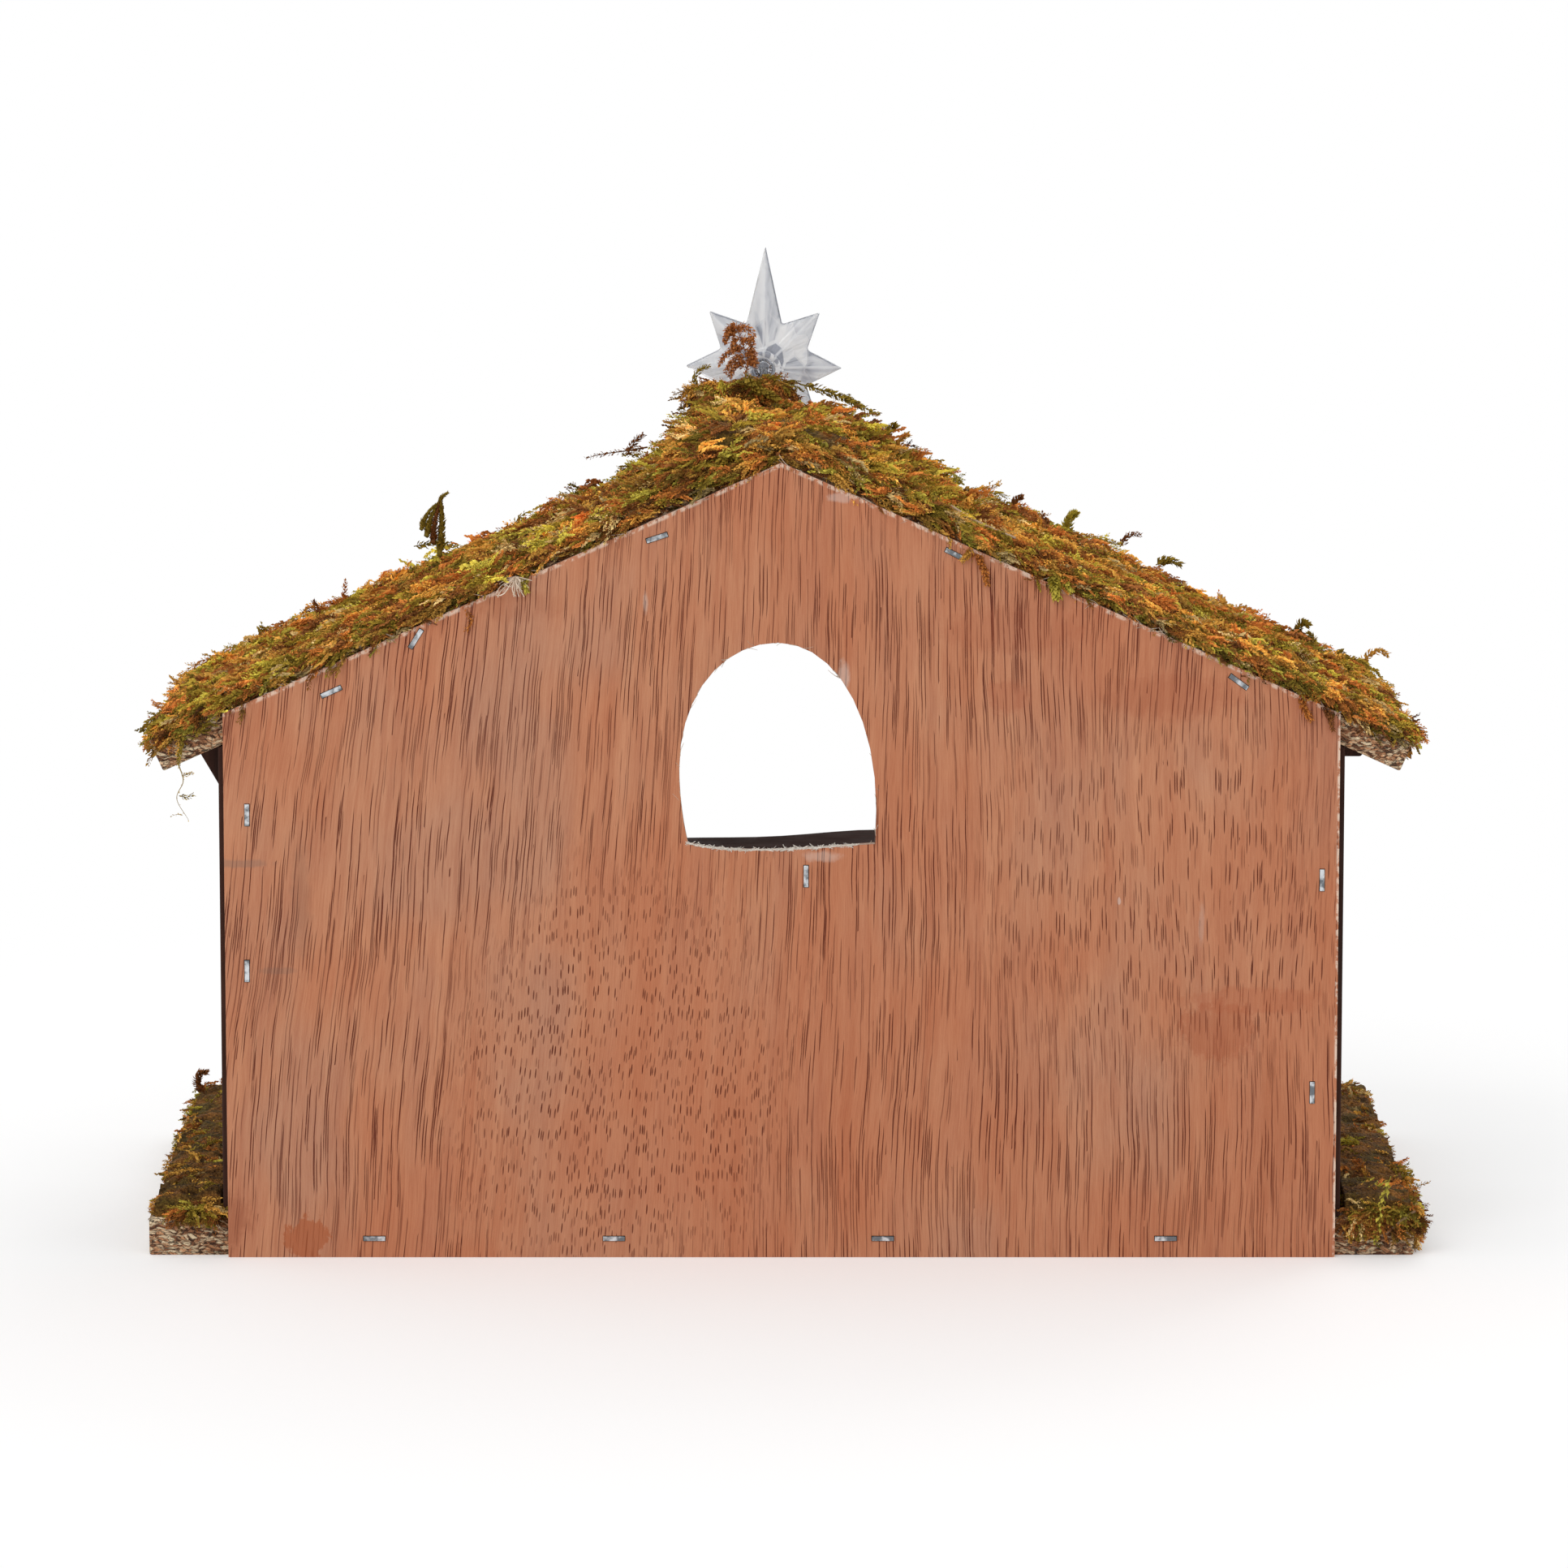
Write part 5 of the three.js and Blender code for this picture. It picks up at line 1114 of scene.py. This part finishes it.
def single_sprigs():
    parts = []

    def add(points, faces, light, tone):
        parts.append((points, faces, np.array(tone[:3]) * light[:, None]))

    def curve(y, line):
        x, z = np.array(line).T
        return through(columns(x, y, z))

    for i, (y, line, leaves, leaf, stem, colour, slim) in enumerate(SPRIGS):
        sizes = (0.7 * leaf * MM, 1.1 * leaf * MM)
        shoot = leafy(curve(y, line), leaves, sizes, 300 + i, stem * MM, slim=slim, spread=SPRIG_SPREAD)
        add(*shoot, MOSS_PALETTE[colour][0])
    # Each curl of the fern has a second shoot beside it
    for i, line in enumerate([FERN_STEM, *FERN_CURLS, *FERN_CURLS]):
        again = 0.55 * (i > len(FERN_CURLS))
        places = [(x + again, z - 1.6 * again) for x, z in line]
        stem, leaves = (0.26, 90) if i == 0 else (0.1, 66)
        spine = curve(FERN_Y + 0.4 * (i % 3), places)
        add(*leafy(spine, leaves, (1.0 * MM, 2.1 * MM), 400 + i, stem * MM, spread=FERN_SPREAD), FERN_TONE)
    rng = rng_of(450)
    for _ in range(TORN_COUNT):
        way = np.array([rng.uniform(-4.5, 5.5), 1.5, rng.uniform(-5.5, -0.5)]) * MM
        share = np.linspace(0, 1, 7)[:, None]
        curl = rng.normal(0, 1.2, 3) * MM
        line = np.array(TORN_FIBRES) * MM + way * share + curl * np.sin(share * 3.1) * share
        points, faces = tube(line, rng.uniform(0.11, 0.2) * MM, 4)
        add(points, faces, np.ones(len(points)), rgb(252, 232, 212))
    for y, line, radius, colour in FIBRES:
        points, faces = tube(curve(y, line), radius * MM)
        add(points, faces, np.ones(len(points)), colour)
    mesh_object("moss_sprigs", *joined(parts), LOOKS["moss"], "moss")


def moss():
    for i, (name, node, count, slope, lift, darker, sink, length) in enumerate(MOSS_BEDS):
        moss_bed(name, node, count, 100 + i, slope, lift, darker, sink, length)
        mat_sink = BASE_MAT_SINK if "base" in name else ROOF_MAT_SINK
        moss_mat(name + "_mat", node, 200 + i, mat_sink, darker)
    moss_fringe("moss_fringe_left", "roof_moss_left", 1, 131)
    moss_fringe("moss_fringe_right", "roof_moss_right", -1, 132)
    for edge in DRAPES:
        drape(*edge)
    single_sprigs()


# Straw
STRAW_TONES = [
    rgb(228, 194, 120), rgb(206, 168, 96), rgb(238, 214, 154), rgb(180, 140, 78), rgb(150, 112, 62),
]


def straws(rng, middle, yaw, tilt, length, radius, steps=8):
    """Bent strands about their middles (n, 3), their length and radius within limits in
    millimetres. Returns paths (n, steps, 3), radii and colours."""
    count = len(middle)
    length = rng.uniform(*length, count) * MM
    radius = rng.uniform(*radius, count) * MM
    along = columns(np.cos(yaw) * np.cos(tilt), np.sin(yaw) * np.cos(tilt), np.sin(tilt))
    side = columns(-np.sin(yaw), np.cos(yaw), 0.0)
    t = np.linspace(-0.5, 0.5, steps)
    bow = rng.normal(0, 0.28, (count, 1)) * (t * t - 0.1)
    wave = rng.normal(0, 0.02, (count, 1)) * np.sin(t * 14 + rng.uniform(0, 6.28, (count, 1)))
    knee = rng.uniform(-0.3, 0.3, (count, 1))
    fold = rng.normal(0, 0.35, (count, 1)) * np.maximum(t - knee, 0) * (rng.random((count, 1)) < 0.3)
    hump = rng.normal(0, 0.1, (count, 1)) * (t * t - 0.1)
    paths = middle[:, None] + length[:, None, None] * (
        along[:, None] * t[None, :, None]
        + side[:, None] * (bow + wave + fold)[:, :, None]
        + np.array([0, 0, 1.0]) * hump[:, :, None]
    )
    taper = 1 - 0.25 * np.abs(t * 2) ** 3
    tones = np.array([c[:3] for c in STRAW_TONES])[rng.integers(0, len(STRAW_TONES), count)]
    return paths, radius[:, None] * taper, tones * rng.uniform(0.75, 1.12, (count, 1))


def straw_object(name, node, paths, radii, tones, sides=5):
    colours = np.repeat(tones, paths.shape[1] * sides + 2, axis=0)
    tubes = strands(paths, radii, sides)
    mesh_object(name, *tubes, colours, LOOKS["straw"], "straw", node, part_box(node))


def floor_straw(count=2400):
    node = "floor_straw"
    rng = rng_of(500)
    low, high = (np.array(corner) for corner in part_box(node))
    middle = columns(
        rng.uniform(low[0], high[0], count),
        rng.uniform(low[1], high[1], count),
        high[2] - rng.uniform(-0.2, 1.7, count) * MM,
    )
    yaw = rng.normal(0, 0.9, count) + noise(middle * [1, 1, 0], 30, 501) * 6
    tilt = rng.normal(0, 0.02, count)
    paths, radii, tones = straws(rng, middle, yaw, tilt, (10, 30), (0.28, 0.5))
    # Some straw spills out at the front
    least = low + np.array([0.5, -4, 0.4]) * MM
    most = high + np.array([-0.5, -0.5, 1.2]) * MM
    straw_object("floor_straw_strands", node, np.clip(paths, least, most), radii, tones)
    grid, faces = mat_surface(node, 1.5, 3, 502, skirt=1)
    ground = np.array(rgb(150, 116, 66)[:3]) * (0.5 + 0.6 * noise(grid, 2, 503))[:, None]
    mesh_object("floor_straw_mat", grid, faces, ground, LOOKS["straw"], "straw", node, (low, high))


def manger_straw(count=320, over=46):
    """Straw that fills the trough, with some strands over its rim."""
    node = "manger_straw"
    rng = rng_of(510)
    low, high = (np.array(corner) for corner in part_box(node))
    centre, half = 0.5 * (low + high), 0.5 * (high - low)
    middle = columns(
        centre[0] + rng.uniform(-0.9, 0.9, count) * half[0],
        centre[1] + rng.uniform(-0.8, 0.8, count) * half[1],
        high[2] - rng.uniform(-0.6, 3.2, count) * MM,
    )
    yaw = rng.normal(0, 0.8, count)
    tilt = rng.normal(0, 0.08, count)
    filling = straws(rng, middle, yaw, tilt, (6, 13), (0.2, 0.34))
    inset = 0.3 * MM
    filling[0][..., :2] = np.clip(filling[0][..., :2], low[:2] + inset, high[:2] - inset)
    side = np.where(rng.random(over) < 0.5, -1.0, 1.0)
    rim = columns(
        centre[0] + rng.uniform(-0.9, 0.9, over) * half[0],
        centre[1] + side * half[1] * rng.uniform(0.75, 0.95, over),
        high[2] + rng.uniform(1.6, 2.8, over) * MM,
    )
    yaw = side * np.pi / 2 + rng.normal(0, 0.7, over)
    tilt = rng.uniform(0.05, 0.4, over)
    spilling = straws(rng, rim, yaw, tilt, (5, 9), (0.18, 0.3))
    whole = (np.vstack(pair) for pair in zip(filling, spilling))
    straw_object("manger_straw_strands", node, *whole)


# Torn fibres along the panel's cut edges
FRAY_LOWEST = 3 * MM


def near_staples(points, clear=2.8 * MM):
    near = np.zeros(len(points), bool)
    for part in frame["record"]["subparts"]:
        if part["material_slot"] == "staple_steel":
            low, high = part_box(part["node"])
            near |= np.maximum(np.array(low) - points, points - np.array(high)).max(axis=1) < clear
    return near


def panel_rim():
    """The edges between the panel's back and its cut sides, as pairs of points."""
    mesh = frame["nodes"]["back_panel"].data
    sides = {}
    for polygon in mesh.polygons:
        corners = [tuple(round(c / MM, 2) for c in mesh.vertices[i].co) for i in polygon.vertices]
        for ends in zip(corners, corners[1:] + corners[:1]):
            sides.setdefault(frozenset(ends), []).append(polygon.normal.y)
    rim = []
    for ends, normals in sides.items():
        if max(normals) > 0.9 and min(abs(n) for n in normals) < 0.5:
            ends = np.array(sorted(ends)) * MM
            if ends[:, 2].min() > FRAY_LOWEST and np.linalg.norm(ends[1] - ends[0]) > 1.5 * MM:
                rim.append(ends)
    return np.array(rim)


def frayed_panel(count=1900):
    rng = rng_of(520)
    rim = panel_rim()
    middle_x, _, middle_z = rim.mean(axis=1).T
    # The sill is torn most, then the edge at the right
    weight = np.linalg.norm(rim[:, 1] - rim[:, 0], axis=1)
    in_window = np.abs(middle_x) < 45 * MM
    sill = in_window & (middle_z < 112 * MM)
    weight[sill] *= 34
    weight[in_window & (middle_z > 112 * MM) & (middle_z < 165 * MM)] *= 0.4
    weight[middle_x < PANEL_LOW.x + 4 * MM] *= 5
    weight[middle_x > PANEL_HIGH.x - 4 * MM] *= 0.5
    chosen = rng.choice(len(rim), count, p=weight / weight.sum())
    share = rng.random(count)[:, None]
    root = rim[chosen, 0] * (1 - share) + rim[chosen, 1] * share
    free = ~near_staples(root)
    chosen, root, count = chosen[free], root[free], free.sum()
    run = unit(rim[chosen, 1] - rim[chosen, 0]) * rng.choice([-1, 1], count)[:, None]
    torn = sill[chosen]
    out = np.cross(run, [0, 1.0, 0]) * rng.normal(0, 0.35, count)[:, None]
    out[torn] = np.array([0, 0, 1.0]) * rng.uniform(0.0, 0.3, torn.sum())[:, None]
    way = unit(run + out + [0, 1, 0] * rng.uniform(0.0, 0.25, count)[:, None])
    size = rng.uniform(0.6, 2.6, count) ** 1.2 * np.where(torn, 0.6, 1.0)
    size = (size * MM)[:, None, None]
    t = np.linspace(0, 1, 5)[None, :, None]
    curl = rng.normal(0, 0.25, (count, 1, 3)) * [1, 0.3, 1]
    paths = root[:, None] - [0, 0.12 * MM, 0] + size * (way[:, None] * t + curl * t * t)
    paths[..., 1] = np.clip(paths[..., 1], PANEL_LOW.y, PANEL_HIGH.y + 0.5 * MM)
    torn |= root[:, 0] < PANEL_LOW.x + 1 * MM
    radii = rng.uniform(0.05, 0.13, count) * np.where(torn, 1.6, 1.0)
    radii = radii[:, None] * MM * np.linspace(1, 0.5, 5)
    pale = np.where(torn[:, None], rgb(252, 244, 234)[:3], rgb(238, 216, 196)[:3])
    pale = np.repeat(pale * rng.uniform(0.7, 1.05, (count, 1)), 5 * 4 + 2, axis=0)
    mesh_object("panel_fibres", *strands(paths, radii, 4), pale, LOOKS["straw"], "luan_plywood")


# Stage
def add_object(name, data, place):
    made = bpy.data.objects.new(name, data)
    made.location = place
    bpy.context.scene.collection.objects.link(made)
    return made


def light(name, place, power, target=(0, 0, 0.1)):
    data = bpy.data.lights.new(name, "AREA")
    data.size = 1.2
    data.energy = power
    made = add_object(name, data, place)
    made.rotation_euler = (Vector(target) - Vector(place)).to_track_quat("-Z", "Y").to_euler()


def world():
    made = bpy.data.worlds.new("studio")
    made.use_nodes = True
    nodes = Nodes(made.node_tree)
    lighting = nodes.tree.nodes["Background"]
    lighting.inputs["Strength"].default_value = WORLD_LIGHT
    lighting.inputs["Color"].default_value = (1, 1, 1, 1)
    white = nodes.out(0, "Background", {"Color": (1, 1, 1, 1)})
    mixed = nodes.out(0, "MixShader", {0: nodes.seen_directly(), 1: lighting.outputs[0], 2: white})
    nodes.plug(mixed, nodes.tree.nodes["World Output"].inputs["Surface"])
    bpy.context.scene.world = made


def floor():
    """A pale floor that keeps the shadow near the object and fades to white away from it."""
    bpy.ops.mesh.primitive_plane_add(size=40)
    made = bpy.context.active_object
    made.name = "floor"
    look = Look("floor", Roughness=0.8, Specular_IOR_Level=0.1, Base_Color=(0.93, 0.93, 0.93, 1))
    far = look.vector("LENGTH", look.place)
    seen = look.seen_directly()
    share = look.step(far, 0.22, 0.5) * seen
    mixed = look.out(0, "MixShader", {0: share, 1: look.shader.outputs[0], 2: look.emission(1.0)})
    raised = look.emission(look.step(far, 0.5, 0.22) * seen * FLOOR_LIFT)
    whole = look.out(0, "AddShader", {0: mixed, 1: raised})
    look.plug(whole, look.tree.nodes["Material Output"].inputs["Surface"])
    made.data.materials.append(look.material)
    made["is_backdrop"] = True


def camera():
    data = bpy.data.cameras.new("camera")
    data.sensor_width = SENSOR_MM
    data.lens = FOCAL_PIXELS / PHOTO_SIZE * SENSOR_MM
    data.clip_start = 0.01
    data.clip_end = 60
    made = add_object("camera", data, CAMERA_PLACE)
    made.rotation_euler = (math.pi / 2 - CAMERA_PITCH, 0, math.pi)
    bpy.context.scene.camera = made


camera()
world()
light("key", (0.9, 1.7, 1.5), 12)
light("front", (-0.8, -1.8, 1.4), 8)
floor()
bpy.context.scene.view_settings.view_transform = "Standard"

dress_nodes()
moss()
floor_straw()
manger_straw()
frayed_panel()
